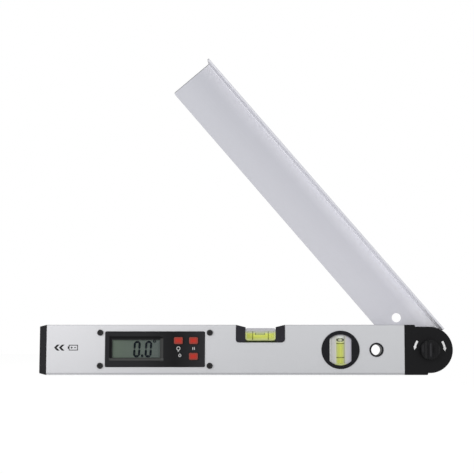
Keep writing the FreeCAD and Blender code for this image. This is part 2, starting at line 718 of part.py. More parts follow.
def top_vial_holder():
    """A black U that stands in the notch, low enough behind the face for the arm's flange."""
    block = top_holder_outline(0, FRONT - TOP_HOLDER_PROUD, REAR, BODY_HEIGHT)
    y0 = FRONT - TOP_HOLDER_PROUD - PAST
    y1 = REAR + PAST
    above = BODY_HEIGHT + PAST
    bed = box(TOP_BLOCK_LEFT, TOP_BLOCK_RIGHT, y0, y1, TOP_BLOCK_BOTTOM, above)
    bed = bed.makeFillet(TOP_HOLDER_INNER_CORNER, edges_at_height(bed, TOP_BLOCK_BOTTOM))
    slope_end = BODY_HEIGHT - TOP_HOLDER_SLOPE
    left = profile([(TOP_LEFT, BODY_HEIGHT), (TOP_BLOCK_LEFT + PAST, above),
                    (TOP_BLOCK_LEFT + PAST, slope_end), (TOP_BLOCK_LEFT, slope_end)], y0, y1)
    right = profile([(TOP_RIGHT, BODY_HEIGHT), (TOP_BLOCK_RIGHT - PAST, above),
                     (TOP_BLOCK_RIGHT - PAST, slope_end), (TOP_BLOCK_RIGHT, slope_end)], y0, y1)
    behind = box(TOP_LEFT - PAST, TOP_RIGHT + PAST, INNER_FRONT, REAR + PAST, BOX_TOP, BODY_HEIGHT + PAST)
    block = block.cut(bed).cut(left).cut(right).cut(behind)
    lips = []
    y1 = INNER_FRONT + TOP_HOLDER_LIP_THICK
    low = TOP_FLOOR + TOP_HOLDER_CORNER
    high = INNER_TOP - TOP_HOLDER_LIP_DROP
    lips.append(box(TOP_LEFT - TOP_HOLDER_LIP, TOP_LEFT, INNER_FRONT, y1, low, high))
    lips.append(box(TOP_RIGHT, TOP_RIGHT + TOP_HOLDER_LIP, INNER_FRONT, y1, low, high))
    return join([block] + lips)


def top_tube():
    return bar(TOP_BLOCK_LEFT + TOP_TUBE_END, TOP_BLOCK_RIGHT - TOP_TUBE_END, 0, TOP_TUBE_Z, TOP_TUBE_RADIUS)


def top_vial_block():
    """The clear block, bored lengthways for the liquid."""
    y0 = FRONT + TOP_BLOCK_INSET
    y1 = REAR - TOP_BLOCK_INSET
    top = TOP_BLOCK_BOTTOM + TOP_BLOCK_HEIGHT
    block = box(TOP_BLOCK_LEFT, TOP_BLOCK_RIGHT, y0, y1, TOP_BLOCK_BOTTOM, top)
    block = block.makeFillet(TOP_HOLDER_INNER_CORNER, edges_at_height(block, TOP_BLOCK_BOTTOM))
    block = block.makeChamfer(TOP_BLOCK_CORNER, edges_at_height(block, top))
    return block.cut(top_tube())


def top_vial_liquid():
    """The liquid, with the bubble's hollow along the top of the tube."""
    half = TOP_BUBBLE_LENGTH / 2
    radius = (half ** 2 + TOP_BUBBLE_DEPTH ** 2) / (2 * TOP_BUBBLE_DEPTH)
    height = TOP_TUBE_Z + TOP_TUBE_RADIUS - TOP_BUBBLE_DEPTH + radius
    bubble = Part.makeSphere(radius, FreeCAD.Vector(TOP_X + TOP_BUBBLE_SHIFT, 0, height))
    return top_tube().cut(bubble)


def round_vial_holder():
    """The drum that passes through the body, with its ring on the front face."""
    front = FRONT - ROUND_RING_PROUD
    flange = rod(ROUND_X, MIDDLE, ROUND_RING_RADIUS, front, FRONT)
    flange = flange.makeFillet(ROUND_RING_EDGE, edges_on_plane(flange, front))
    drum = rod(ROUND_X, MIDDLE, ROUND_DRUM_RADIUS, FRONT, INNER_REAR)
    return flange.fuse(drum).removeSplitter().cut(round_window(front - PAST, REAR))


def round_vial_rear_ring():
    plate = rod(ROUND_X, MIDDLE, ROUND_RING_RADIUS, INNER_REAR, REAR)
    return plate.cut(round_window(INNER_REAR - PAST, REAR + PAST))


def round_tube():
    return post(ROUND_X, 0, ROUND_TUBE_RADIUS, MIDDLE - ROUND_TUBE_HALF, MIDDLE + ROUND_TUBE_HALF)


def round_vial_block():
    inset = ROUND_BLOCK_INSET
    return round_window(FRONT + inset, REAR - inset).cut(round_tube())


def round_vial_liquid():
    """The liquid, with a lens-shaped bubble between two spheres."""
    half = ROUND_BUBBLE_HEIGHT / 2
    radius = (ROUND_BUBBLE_RADIUS ** 2 + half ** 2) / ROUND_BUBBLE_HEIGHT
    height = MIDDLE + ROUND_TUBE_HALF - ROUND_BUBBLE_DROP
    upper = Part.makeSphere(radius, FreeCAD.Vector(ROUND_X, 0, height - half + radius))
    lower = Part.makeSphere(radius, FreeCAD.Vector(ROUND_X, 0, height + half - radius))
    return round_tube().cut(upper.common(lower))


def hang_grommet():
    front = FRONT - GROMMET_PROUD
    flange = rod(HANG_X, MIDDLE, GROMMET_FLANGE, front, FRONT)
    flange = flange.makeFillet(GROMMET_EDGE, edges_on_plane(flange, front))
    tube = rod(HANG_X, MIDDLE, GROMMET_RADIUS, FRONT, REAR)
    bore = rod(HANG_X, MIDDLE, HANG_RADIUS, front - PAST, REAR + PAST)
    return flange.fuse(tube).removeSplitter().cut(bore)


def end_section(x, drop, depth_drop):
    """The end cap's outline at one X, drawn in from the body's outline."""
    y0 = FRONT + depth_drop
    y1 = REAR - depth_drop
    z0 = drop
    z1 = BODY_HEIGHT - drop
    points = [(y0, z0), (y1, z0), (y1, z1), (y0, z1), (y0, z0)]
    return Part.makePolygon([FreeCAD.Vector(x, y, z) for y, z in points])


def battery_end_cap():
    """The tapered cap, hollow, with a spigot that plugs into the extrusion."""
    root = end_section(LEFT, 0, 0)
    tip = end_section(CAP_OUTER, CAP_TAPER, CAP_TAPER / 2)
    taper = Part.makeLoft([root, tip], True, True)
    outer = [edge for edge in taper.Edges if edge.BoundBox.XMax < CAP_OUTER + 0.01]
    taper = taper.makeFillet(CAP_EDGE, outer)
    gap = SLIDE_GAP
    y0 = INNER_FRONT + gap
    y1 = INNER_REAR - gap
    z0 = INNER_BOTTOM + gap
    z1 = INNER_TOP - gap
    plug = box(LEFT, LEFT + CAP_SPIGOT, y0, y1, z0, z1)
    plug = plug.makeFillet(INNER_ROUND, edges_along(plug, FreeCAD.Vector(1, 0, 0)))
    wall = CAP_WALL
    hollow = box(BRIDGE_OUTER, LEFT + CAP_SPIGOT + PAST, y0 + wall, y1 - wall, z0 + wall, z1 - wall)
    return join([taper, plug]).cut(hollow)


def battery_tray():
    """A cradle for two cells, with a runner above and below that guides it in the extrusion."""
    low, high = cell_heights()
    wall = SLIDE_GAP + CAP_WALL + RUN_GAP
    rear = INNER_REAR - wall
    margin = CELL_RADIUS + TRAY_MARGIN
    cradle = box(TRAY_OUTER, CELL_INNER, -TRAY_FRONT, rear, low - margin, high + margin)
    half = RUNNER_THICK / 2
    inner = LEFT + CAP_SPIGOT + SLIDE_GAP
    top = box(inner, CELL_INNER, -half, half, high + margin, INNER_TOP - SLIDE_GAP)
    foot = box(inner, CELL_INNER, -half, half, INNER_BOTTOM + SLIDE_GAP, low - margin)
    tray = join([cradle, top, foot])
    for height in (low, high):
        tray = tray.cut(bar(TRAY_OUTER - PAST, CELL_INNER + PAST, 0, height, CELL_RADIUS + CELL_GAP))
    slot = box(TRAY_OUTER - PAST, CELL_INNER + PAST, -TRAY_FRONT - PAST, 0, low, high)
    return tray.cut(slot)


def battery_cells():
    """Two cells, one each way round."""
    low, high = cell_heights()
    nipple = CELL_NIPPLE
    lower = bar(CELL_OUTER, CELL_INNER - nipple, 0, low, CELL_RADIUS)
    lower = lower.fuse(bar(CELL_INNER - nipple, CELL_INNER, 0, low, CELL_NIPPLE_RADIUS))
    upper = bar(CELL_OUTER + nipple, CELL_INNER, 0, high, CELL_RADIUS)
    upper = upper.fuse(bar(CELL_OUTER, CELL_OUTER + nipple, 0, high, CELL_NIPPLE_RADIUS))
    return group([lower.removeSplitter(), upper.removeSplitter()])


def battery_bridge():
    low, high = cell_heights()
    half = BRIDGE_WIDTH / 2
    return box(BRIDGE_OUTER, TRAY_OUTER, -half, half, low - half, high + half)


def battery_contact_block():
    """The fixed wall inside the body that carries the two contact springs."""
    low, high = cell_heights()
    margin = CELL_RADIUS + CONTACT_MARGIN
    return box(CONTACT_LEFT, CONTACT_RIGHT, INNER_FRONT, INNER_REAR, low - margin, high + margin)


def battery_springs():
    """Two bowed strips with their feet on the contact block, one for each cell."""
    tip = CONTACT_LEFT - SPRING_LENGTH
    foot = SPRING_HALF - SPRING_THICK
    springs = []
    for height in cell_heights():
        corners = [
            (CONTACT_LEFT, height - SPRING_HALF), (tip, height, CONTACT_LEFT, height + SPRING_HALF),
            (CONTACT_LEFT, height + foot), (tip + SPRING_THICK, height, CONTACT_LEFT, height - foot),
        ]
        springs.append(profile(corners, -SPRING_WIDTH / 2, SPRING_WIDTH / 2))
    return group(springs)


def battery_leads():
    y = BOARD_REAR + LEAD_RADIUS
    x1 = BEZEL_LEFT + LEAD_LAP
    return group([bar(CONTACT_RIGHT, x1, y, height, LEAD_RADIUS) for height in cell_heights()])


def cable_front():
    return BOARD_REAR + CABLE_SETBACK


def cable_top():
    return INNER_BOTTOM + CABLE_LIFT + CABLE_WIDTH + SLIDE_GAP


def cable_left():
    x1 = BEZEL_RIGHT - CABLE_FROM_RIGHT
    return (x1 - CABLE_WIDTH, x1)


def cable_right():
    x0 = STATOR_TAB_LEFT + (STATOR_TAB_WIDTH - CABLE_WIDTH) / 2
    return (x0, x0 + CABLE_WIDTH)


def sensor_ribbon():
    """A flat cable on edge along the bottom, with a riser at each end."""
    y0 = cable_front()
    z0 = INNER_BOTTOM + CABLE_LIFT
    z1 = z0 + CABLE_WIDTH
    left = cable_left()
    right = cable_right()
    left_top = BEZEL_BOTTOM + CABLE_RISE
    right_top = PIVOT_Z + STATOR_TAB_HEIGHT / 2
    corners = [
        (left[0], z0), (right[0], z0), (right[1], z1), (right[1], right_top), (right[0], right_top),
        (right[0], z1), (left[1], z1), (left[1], left_top), (left[0], left_top),
    ]
    return profile(corners, y0, y0 + CABLE_THICK)


def hinge_outline(y0, y1, inset):
    """The housing seen from the front: a round end, and a neck with the slanted stop below it."""
    limit = math.radians(OPEN_LIMIT)
    reach = FLANGE_START - STOP_GAP - inset
    radius = HINGE_RADIUS - inset
    across = math.sqrt(radius ** 2 - reach ** 2)
    meet_x = PIVOT_X - reach * math.cos(limit) + across * math.sin(limit)
    meet_z = PIVOT_Z + reach * math.sin(limit) + across * math.cos(limit)
    foot_x = PIVOT_X + ((inset - PIVOT_Z) * math.sin(limit) - reach) / math.cos(limit)
    left = RIGHT + inset
    top = PIVOT_Z + radius
    corners = [(left, top), (PIVOT_X, top), (PIVOT_X + radius, PIVOT_Z, meet_x, meet_z),
               (foot_x, inset), (left, inset)]
    return profile(corners, y0, y1)


def hinge_housing():
    """The moulded housing: bearing, screw posts and the spigot that plugs into the body."""
    shell = hinge_outline(INNER_FRONT, REAR, 0)
    shell = shell.cut(hinge_outline(INNER_FRONT - PAST, HOUSING_FLOOR_FRONT, HOUSING_WALL))
    gap = FIT_GAP
    spigot = box(RIGHT - SPIGOT_LENGTH, RIGHT, INNER_FRONT + gap, INNER_REAR - gap,
                 INNER_BOTTOM + gap, INNER_TOP - gap)
    spigot = spigot.makeFillet(INNER_ROUND, edges_along(spigot, FreeCAD.Vector(1, 0, 0)))
    wall = gap + SPIGOT_WALL
    hollow = box(RIGHT - SPIGOT_LENGTH - PAST, RIGHT - SPIGOT_WALL, INNER_FRONT + wall, INNER_REAR - wall,
                 INNER_BOTTOM + wall, INNER_TOP - wall)
    spigot = spigot.cut(hollow)
    parts = [shell, spigot]
    parts.append(rod(PIVOT_X, PIVOT_Z, BEARING_RADIUS, BEARING_FRONT, HOUSING_FLOOR_FRONT))
    for x, z in cover_screw_places():
        parts.append(rod(x, z, COVER_POST_RADIUS, INNER_FRONT, HOUSING_FLOOR_FRONT))
    post_end = INNER_REAR - gap - HOUSING_SCREW_LENGTH
    for x, z in housing_screw_places():
        parts.append(rod(x, z, HOUSING_POST_RADIUS, post_end, INNER_REAR - wall))
    body = join(parts)
    body = body.cut(rod(PIVOT_X, PIVOT_Z, BUSH_RADIUS, BEARING_FRONT - PAST, REAR + PAST))
    for x, z in cover_screw_places():
        body = body.cut(rod(x, z, COVER_SCREW_RADIUS + FIT_GAP, INNER_FRONT - PAST, REAR + PAST))
        head = COVER_SCREW_HEAD + FIT_GAP
        body = body.cut(rod(x, z, head, REAR - COVER_SCREW_HEAD_DEPTH - FIT_GAP, REAR + PAST))
    for x, z in housing_screw_places():
        body = body.cut(rod(x, z, HOUSING_SCREW_RADIUS, INNER_REAR - HOUSING_SCREW_LENGTH, REAR))
    middle = cable_front() + CABLE_THICK / 2
    half = CABLE_PORT_WIDTH / 2
    port = box(RIGHT - SPIGOT_LENGTH - PAST, RIGHT + HOUSING_WALL + PAST, middle - half, middle + half,
               INNER_BOTTOM + CABLE_LIFT / 2, cable_top())
    return body.cut(port)


def hinge_cover():
    """The front plate, with a lip level with the body's top and bottom edges and a small notch."""
    radius = HINGE_RADIUS + COVER_LAP
    top = BODY_HEIGHT
    step = PIVOT_Z + radius
    lip = RIGHT + COVER_TOP_LIP
    foot = PIVOT_X - COVER_FOOT_SETBACK
    start = math.asin(COVER_NOTCH_WIDTH / 2 / radius)
    low_x = PIVOT_X + radius * math.sin(start)
    low_z = PIVOT_Z - radius * math.cos(start)
    corners = [
        (RIGHT, top), (lip, top), (lip + COVER_TOP_STEP, step), (PIVOT_X, step),
        (PIVOT_X + radius, PIVOT_Z, low_x, low_z),
        (foot + COVER_NOTCH_RUN, COVER_NOTCH_RISE), (foot, 0), (RIGHT, 0),
    ]
    plate = profile(corners, COVER_FRONT, INNER_FRONT)
    plate = plate.makeChamfer(COVER_EDGE, edges_on_plane(plate, COVER_FRONT))
    plate = plate.cut(rod(PIVOT_X, PIVOT_Z, BOLT_RADIUS + RUN_GAP, COVER_FRONT - PAST, INNER_FRONT + PAST))
    for x, z in cover_screw_places():
        plate = plate.cut(rod(x, z, COVER_SCREW_RADIUS, INNER_FRONT - COVER_SCREW_BITE, INNER_FRONT + PAST))
    return plate


def cover_screws():
    seat = REAR - COVER_SCREW_HEAD_DEPTH
    length = seat - INNER_FRONT + COVER_SCREW_BITE
    shape = (COVER_SCREW_HEAD, COVER_SCREW_HEAD_DEPTH - FIT_GAP, COVER_SCREW_RADIUS, length)
    socket = SCREW_SOCKET_SHARE * COVER_SCREW_HEAD
    return group([screw(x, seat, z, *shape, 1, socket) for x, z in cover_screw_places()])


def housing_screw(x, z, gap):
    """A countersunk screw, flush with the body's rear face; a gap widens it into its hole."""
    shank = HOUSING_SCREW_RADIUS + gap
    head = HOUSING_SCREW_HEAD + gap
    depth = head - shank
    start = FreeCAD.Vector(x, REAR, z)
    cone = Part.makeCone(head, shank, depth, start, FreeCAD.Vector(0, -1, 0))
    if gap == 0:
        return cone.fuse(rod(x, z, shank, INNER_REAR - HOUSING_SCREW_LENGTH, REAR - depth)).removeSplitter()
    return cone.fuse(rod(x, z, shank, INNER_REAR - PAST, REAR - depth / 2)).removeSplitter()


def housing_screws():
    return group([housing_screw(x, z, 0) for x, z in housing_screw_places()])


def hub_bush():
    return ring(PIVOT_X, PIVOT_Z, HUB_RADIUS + RUN_GAP, BUSH_RADIUS, BEARING_FRONT, REAR)


def encoder_stator():
    """The fixed sensor board with its tab and cable socket."""
    y0 = STATOR_FRONT
    y1 = BEARING_FRONT
    disc = rod(PIVOT_X, PIVOT_Z, STATOR_RADIUS, y0, y1)
    left = STATOR_TAB_LEFT
    half = STATOR_TAB_HEIGHT / 2
    tab = box(left, PIVOT_X - STATOR_RADIUS / 2, y0, y1, PIVOT_Z - half, PIVOT_Z + half)
    right = left + STATOR_TAB_WIDTH
    socket = box(left, right, cable_front() + CABLE_THICK, y0, PIVOT_Z - half, PIVOT_Z + half)
    board = join([disc, tab, socket])
    return board.cut(rod(PIVOT_X, PIVOT_Z, BUSH_RADIUS, y0 - PAST, y1 + PAST))


def encoder_rotor():
    return ring(PIVOT_X, PIVOT_Z, HUB_NOSE_RADIUS, ROTOR_RADIUS, ROTOR_FRONT, ROTOR_REAR)


def friction_washer():
    return ring(PIVOT_X, PIVOT_Z, FRICTION_INNER, FRICTION_OUTER, REAR, PLATE_FRONT - RUN_GAP)


def arm_hub():
    """The turned hub: flange behind the blade, bearing journal, and the nose that carries the rotor."""
    flange = rod(PIVOT_X, PIVOT_Z, HUB_FLANGE_RADIUS, PLATE_REAR, HUB_REAR)
    journal = rod(PIVOT_X, PIVOT_Z, HUB_RADIUS, ROTOR_REAR, PLATE_REAR)
    nose = rod(PIVOT_X, PIVOT_Z, HUB_NOSE_RADIUS, ROTOR_FRONT, ROTOR_REAR)
    hub = join([flange, journal, nose])
    hub = hub.cut(rod(PIVOT_X, PIVOT_Z, BOLT_RADIUS + HUB_BORE_GAP, ROTOR_FRONT - PAST, HUB_REAR + PAST))
    for x, z in hub_screw_places():
        hub = hub.cut(rod(x, z, HUB_SCREW_RADIUS + RUN_GAP, PLATE_REAR - PAST, HUB_REAR + PAST))
    return hub


def hub_screws():
    length = HUB_FLANGE_THICK + ARM_PLATE - RUN_GAP
    shape = (HUB_SCREW_HEAD, HUB_SCREW_HEAD_HEIGHT, HUB_SCREW_RADIUS, length)
    socket = SCREW_SOCKET_SHARE * HUB_SCREW_HEAD
    return group([screw(x, HUB_REAR, z, *shape, 1, socket) for x, z in hub_screw_places()])


def arm_blade():
    """The L section, drawn closed: a plate behind the body and a flange over its top."""
    tip = PIVOT_X - ARM_LENGTH
    start = PIVOT_X - FLANGE_START
    low = PIVOT_Z - ARM_ROUND
    inner = PIVOT_Z + FLANGE_INNER
    high = PIVOT_Z + FLANGE_OUTER
    edge = ARM_EDGE_ROUND
    root = ARM_INNER_ROUND
    corners = [
        (PLATE_FRONT, low), (PLATE_REAR, low), (PLATE_REAR, high - edge),
        corner_round(PLATE_REAR - edge, high - edge, edge, 0, 90), (FLANGE_FRONT + edge, high),
        corner_round(FLANGE_FRONT + edge, high - edge, edge, 90, 180), (FLANGE_FRONT, inner + edge),
        corner_round(FLANGE_FRONT + edge, inner + edge, edge, 180, 270), (PLATE_FRONT - root, inner),
        corner_round(PLATE_FRONT - root, inner - root, root, 90, 0),
    ]
    length = section(corners, tip, start)
    meet = PIVOT_Z + math.sqrt(ARM_ROUND ** 2 - FLANGE_START ** 2)
    end = profile([(start, low), (PIVOT_X, low), (PIVOT_X + ARM_ROUND, PIVOT_Z, start, meet)],
                  PLATE_FRONT, PLATE_REAR)
    blade = join([length, end])
    tips = [side for side in edges_at_height(blade, low) if side.BoundBox.XMax < tip + ARM_TIP_ROUND]
    blade = blade.makeFillet(ARM_TIP_ROUND, tips)
    blade = blade.cut(rod(PIVOT_X, PIVOT_Z, HUB_RADIUS + RUN_GAP, PLATE_FRONT - PAST, PLATE_REAR + PAST))
    hole_x = PIVOT_X - ARM_HOLE_ALONG
    hole_z = PIVOT_Z + ARM_HOLE_ACROSS
    blade = blade.cut(rod(hole_x, hole_z, ARM_HOLE_RADIUS, PLATE_FRONT - PAST, PLATE_REAR + PAST))
    for x, z in hub_screw_places():
        blade = blade.cut(rod(x, z, HUB_SCREW_RADIUS, PLATE_FRONT - PAST, PLATE_REAR + PAST))
    return blade


def arm_rear_cap():
    """The round cap behind the hinge, gripping the hub's flange."""
    rear = PLATE_REAR + REAR_CAP_DEPTH
    cap = rod(PIVOT_X, PIVOT_Z, REAR_CAP_RADIUS, PLATE_REAR, rear)
    cap = cap.makeFillet(REAR_CAP_EDGE, edges_on_plane(cap, rear))
    hollow = rod(PIVOT_X, PIVOT_Z, REAR_CAP_RADIUS - REAR_CAP_WALL, PLATE_REAR - PAST, rear - REAR_CAP_WALL)
    grip = ring(PIVOT_X, PIVOT_Z, HUB_FLANGE_RADIUS, HUB_FLANGE_RADIUS + REAR_CAP_WALL, PLATE_REAR,
                rear - REAR_CAP_WALL)
    return join([cap.cut(hollow), grip])


def clamp_bolt():
    """The bolt that does not turn: its head pulls the hub against the housing."""
    shank = rod(PIVOT_X, PIVOT_Z, BOLT_RADIUS, INSERT_FRONT + RUN_GAP, BOLT_SEAT)
    head = rod(PIVOT_X, PIVOT_Z, BOLT_HEAD_RADIUS, BOLT_SEAT, BOLT_REAR)
    head = head.makeFillet(BOLT_HEAD_EDGE, edges_on_plane(head, BOLT_REAR))
    socket = hexagon(PIVOT_X, PIVOT_Z, BOLT_SOCKET, BOLT_REAR - BOLT_HEAD_HEIGHT / 2, BOLT_REAR + PAST)
    return join([shank, head]).cut(socket)


def hexagon(x, z, radius, y0, y1):
    points = []
    for index in range(7):
        angle = math.pi * index / 3
        points.append(FreeCAD.Vector(x + radius * math.cos(angle), y0, z + radius * math.sin(angle)))
    return Part.Face(Part.makePolygon(points)).extrude(FreeCAD.Vector(0, y1 - y0, 0))


def pressure_washer():
    return ring(PIVOT_X, PIVOT_Z, BOLT_RADIUS, PRESSURE_WASHER_RADIUS, PRESSURE_FRONT, BOLT_SEAT)


def knob_washer():
    front = COVER_FRONT - KNOB_WASHER_THICK
    return ring(PIVOT_X, PIVOT_Z, BOLT_RADIUS, KNOB_WASHER_RADIUS, front, COVER_FRONT)


def lock_knob():
    """A round knob scooped on both sides so that a ridge is left to grip."""
    knob = rod(PIVOT_X, PIVOT_Z, KNOB_RADIUS, KNOB_FRONT, KNOB_BACK)
    reach = KNOB_RADIUS + PAST
    scoop_y = KNOB_BACK - KNOB_BASE - KNOB_SCOOP
    for side in (-1, 1):
        x = PIVOT_X + side * (KNOB_RIDGE / 2 + KNOB_SCOOP)
        knob = knob.cut(post(x, scoop_y, KNOB_SCOOP, PIVOT_Z - reach, PIVOT_Z + reach))
    knob = knob.makeFillet(KNOB_EDGE, edges_on_plane(knob, KNOB_FRONT))
    return knob.cut(rod(PIVOT_X, PIVOT_Z, INSERT_RADIUS, INSERT_FRONT, KNOB_BACK + PAST))


def knob_insert():
    return ring(PIVOT_X, PIVOT_Z, BOLT_RADIUS + THREAD_GAP, INSERT_RADIUS, INSERT_FRONT, KNOB_BACK)


def opened(shape):
    """Turn a piece of the arm from closed to the angle it rests at."""
    shape.rotate(FreeCAD.Vector(PIVOT_X, 0, PIVOT_Z), FreeCAD.Vector(0, 1, 0), REST_ANGLE)
    return shape


def main():
    os.makedirs("parts", exist_ok=True)
    export("body_extrusion", body_extrusion())
    export("display_bezel", display_bezel())
    export("display_window", display_layer(POCKET_FRONT, WINDOW_BACK, WINDOW_MARGIN))
    export("lcd_panel", display_layer(WINDOW_BACK, LCD_BACK, WINDOW_MARGIN))
    export("lcd_backlight", display_layer(LCD_BACK, BOARD_FRONT, WINDOW_MARGIN))
    export("main_board", main_board())
    export("board_screws", board_screws())
    export("display_screws", display_screws())
    export("tact_switches", tact_switches())
    for name, (x, z) in button_places().items():
        export(name, button(x, z))
    export("top_vial_holder", top_vial_holder())
    export("top_vial_block", top_vial_block())
    export("top_vial_liquid", top_vial_liquid())
    export("round_vial_holder", round_vial_holder())
    export("round_vial_rear_ring", round_vial_rear_ring())
    export("round_vial_block", round_vial_block())
    export("round_vial_liquid", round_vial_liquid())
    export("hang_grommet", hang_grommet())
    export("battery_end_cap", battery_end_cap())
    export("battery_tray", battery_tray())
    export("battery_cells", battery_cells())
    export("battery_bridge", battery_bridge())
    export("battery_contact_block", battery_contact_block())
    export("battery_springs", battery_springs())
    export("battery_leads", battery_leads())
    export("sensor_ribbon", sensor_ribbon())
    export("hinge_housing", hinge_housing())
    export("hinge_cover", hinge_cover())
    export("cover_screws", cover_screws())
    export("housing_screws", housing_screws())
    export("hub_bush", hub_bush())
    export("encoder_stator", encoder_stator())
    export("friction_washer", friction_washer())
    export("clamp_bolt", clamp_bolt())
    export("pressure_washer", pressure_washer())
    export("knob_washer", knob_washer())
    export("lock_knob", lock_knob())
    export("knob_insert", knob_insert())
    export("arm_blade", opened(arm_blade()))
    export("arm_hub", opened(arm_hub()))
    export("hub_screws", opened(hub_screws()))
    export("encoder_rotor", opened(encoder_rotor()))
    export("arm_rear_cap", opened(arm_rear_cap()))


main()
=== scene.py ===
import math

import bmesh
import bpy
from mathutils import Matrix, Vector


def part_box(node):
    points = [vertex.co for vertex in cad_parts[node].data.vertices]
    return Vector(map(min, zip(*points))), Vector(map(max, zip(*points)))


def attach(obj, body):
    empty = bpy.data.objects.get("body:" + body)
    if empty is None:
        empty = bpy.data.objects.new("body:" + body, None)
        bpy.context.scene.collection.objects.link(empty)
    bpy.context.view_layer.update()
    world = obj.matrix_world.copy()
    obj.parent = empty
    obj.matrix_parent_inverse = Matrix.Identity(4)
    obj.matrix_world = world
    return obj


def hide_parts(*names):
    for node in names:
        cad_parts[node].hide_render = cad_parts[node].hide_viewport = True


MM = 0.001

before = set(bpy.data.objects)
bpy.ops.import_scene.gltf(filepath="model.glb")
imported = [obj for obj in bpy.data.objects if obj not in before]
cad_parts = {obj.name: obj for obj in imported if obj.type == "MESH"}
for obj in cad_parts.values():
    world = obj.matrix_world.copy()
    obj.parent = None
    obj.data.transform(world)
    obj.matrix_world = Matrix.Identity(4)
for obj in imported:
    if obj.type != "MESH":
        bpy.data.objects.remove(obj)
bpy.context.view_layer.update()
scene = bpy.context.scene

# The camera stands about 1.2 m in front of the tool, low and a little right of its
# middle, and looks up by a few degrees, as in the photograph.
CAMERA_PLACE = (49.4, -1166.0, 27.1)
CAMERA_LENS = 87.34
CAMERA_SHIFT = -0.080
CAMERA_TILT = math.radians(95.5)

lens = bpy.data.cameras.new("camera")
lens.lens = CAMERA_LENS
lens.shift_x = CAMERA_SHIFT
camera = bpy.data.objects.new("camera", lens)
camera.location = Vector(CAMERA_PLACE) * MM
camera.rotation_euler = (CAMERA_TILT, 0.0, 0.0)
scene.collection.objects.link(camera)
scene.camera = camera
scene.view_settings.view_transform = "Standard"


class Wire:
    """One socket of a node tree, so that shader maths reads as plain sums."""

    def __init__(self, shader, socket):
        self.shader = shader
        self.socket = socket

    def maths(self, operation, *values):
        inputs = dict(enumerate(values))
        return self.shader.node("ShaderNodeMath", {"operation": operation}, inputs)

    def larger(self, other):
        return self.maths("MAXIMUM", self, other)

    def smaller(self, other):
        return self.maths("MINIMUM", self, other)

    def __add__(self, other):
        return self.maths("ADD", self, other)

    def __radd__(self, other):
        return self.maths("ADD", other, self)

    def __sub__(self, other):
        return self.maths("SUBTRACT", self, other)

    def __rsub__(self, other):
        return self.maths("SUBTRACT", other, self)

    def __mul__(self, other):
        return self.maths("MULTIPLY", self, other)

    def __rmul__(self, other):
        return self.maths("MULTIPLY", other, self)

    def __truediv__(self, other):
        return self.maths("DIVIDE", self, other)

    def __rtruediv__(self, other):
        return self.maths("DIVIDE", other, self)

    def __abs__(self):
        return self.maths("ABSOLUTE", self)


class Shader:
    """The nodes of one material or of the world."""

    def __init__(self, tree):
        self.tree = tree

    def node(self, kind, settings, inputs, output=0):
        made = self.tree.nodes.new(kind)
        for name, value in settings.items():
            setattr(made, name, value)
        for name, value in inputs.items():
            if isinstance(value, Wire):
                self.tree.links.new(value.socket, made.inputs[name])
            else:
                made.inputs[name].default_value = value
        return Wire(self, made.outputs[output])

    def seen_white(self):
        """One where the eye, a reflection or a clear pane looks at this surface."""
        kinds = ("Is Camera Ray", "Is Glossy Ray", "Is Transmission Ray")
        camera_ray, glossy_ray, clear_ray = [
            self.node("ShaderNodeLightPath", {}, {}, kind) for kind in kinds
        ]
        return self.node("ShaderNodeClamp", {}, {"Value": camera_ray + glossy_ray + clear_ray})


# The world is a white studio: pure white to the eye and in reflections, and a plain
# grey level of light for everything that stands in it.
AMBIENT_LEVEL = 0.55

world = bpy.data.worlds.new("studio")
world.use_nodes = True
scene.world = world
studio = Shader(world.node_tree)
background = world.node_tree.nodes["Background"]
studio_level = studio.seen_white() * (1.0 - AMBIENT_LEVEL) + AMBIENT_LEVEL
world.node_tree.links.new(studio_level.socket, background.inputs["Strength"])
background.inputs["Color"].default_value = (1.0, 1.0, 1.0, 1.0)

# The floor is a table top under a white sheet of studio paper. It reads white to the
# eye and keeps a part of the tool's soft shadow. The tool lies with its hinge past the
# table's right edge, so that the arm can swing below the base.
FLOOR_HALF = 4.0
TABLE_EDGE = 0.185
FLOOR_DROP = 0.05
PAPER_MATT = (0.9, 0.9, 0.9, 1.0)
PAPER_WHITE = 1.035
PAPER_GLOW = 0.91

paper = bpy.data.materials.new("studio_paper")
paper.use_nodes = True
paper_nodes = Shader(paper.node_tree)
paper_nodes.tree.nodes.remove(paper_nodes.tree.nodes["Principled BSDF"])
matt = paper_nodes.node("ShaderNodeBsdfDiffuse", {}, {"Color": PAPER_MATT})
glow = paper_nodes.node("ShaderNodeEmission", {}, {"Strength": PAPER_WHITE})
paper_share = paper_nodes.seen_white() * PAPER_GLOW
paper_mix = paper_nodes.node("ShaderNodeMixShader", {}, {0: paper_share, 1: matt, 2: glow})
paper_output = paper_nodes.tree.nodes["Material Output"]
paper_nodes.tree.links.new(paper_mix.socket, paper_output.inputs["Surface"])

sheet = bmesh.new()
bmesh.ops.create_grid(sheet, x_segments=1, y_segments=1, size=FLOOR_HALF)
sheet_place = (TABLE_EDGE - FLOOR_HALF, 0.0, -FLOOR_DROP * MM)
bmesh.ops.translate(sheet, verts=sheet.verts, vec=sheet_place)
floor_mesh = bpy.data.meshes.new("floor")
sheet.to_mesh(floor_mesh)
sheet.free()
floor = bpy.data.objects.new("floor", floor_mesh)
floor_mesh.materials.append(paper)
scene.collection.objects.link(floor)


# Three soft boxes light the tool: the large one above and left of the camera, a
# weaker one on the right, and one overhead that brings out the top edges.
LAMP_AIM = Vector((0.05, 0.0, 0.1))


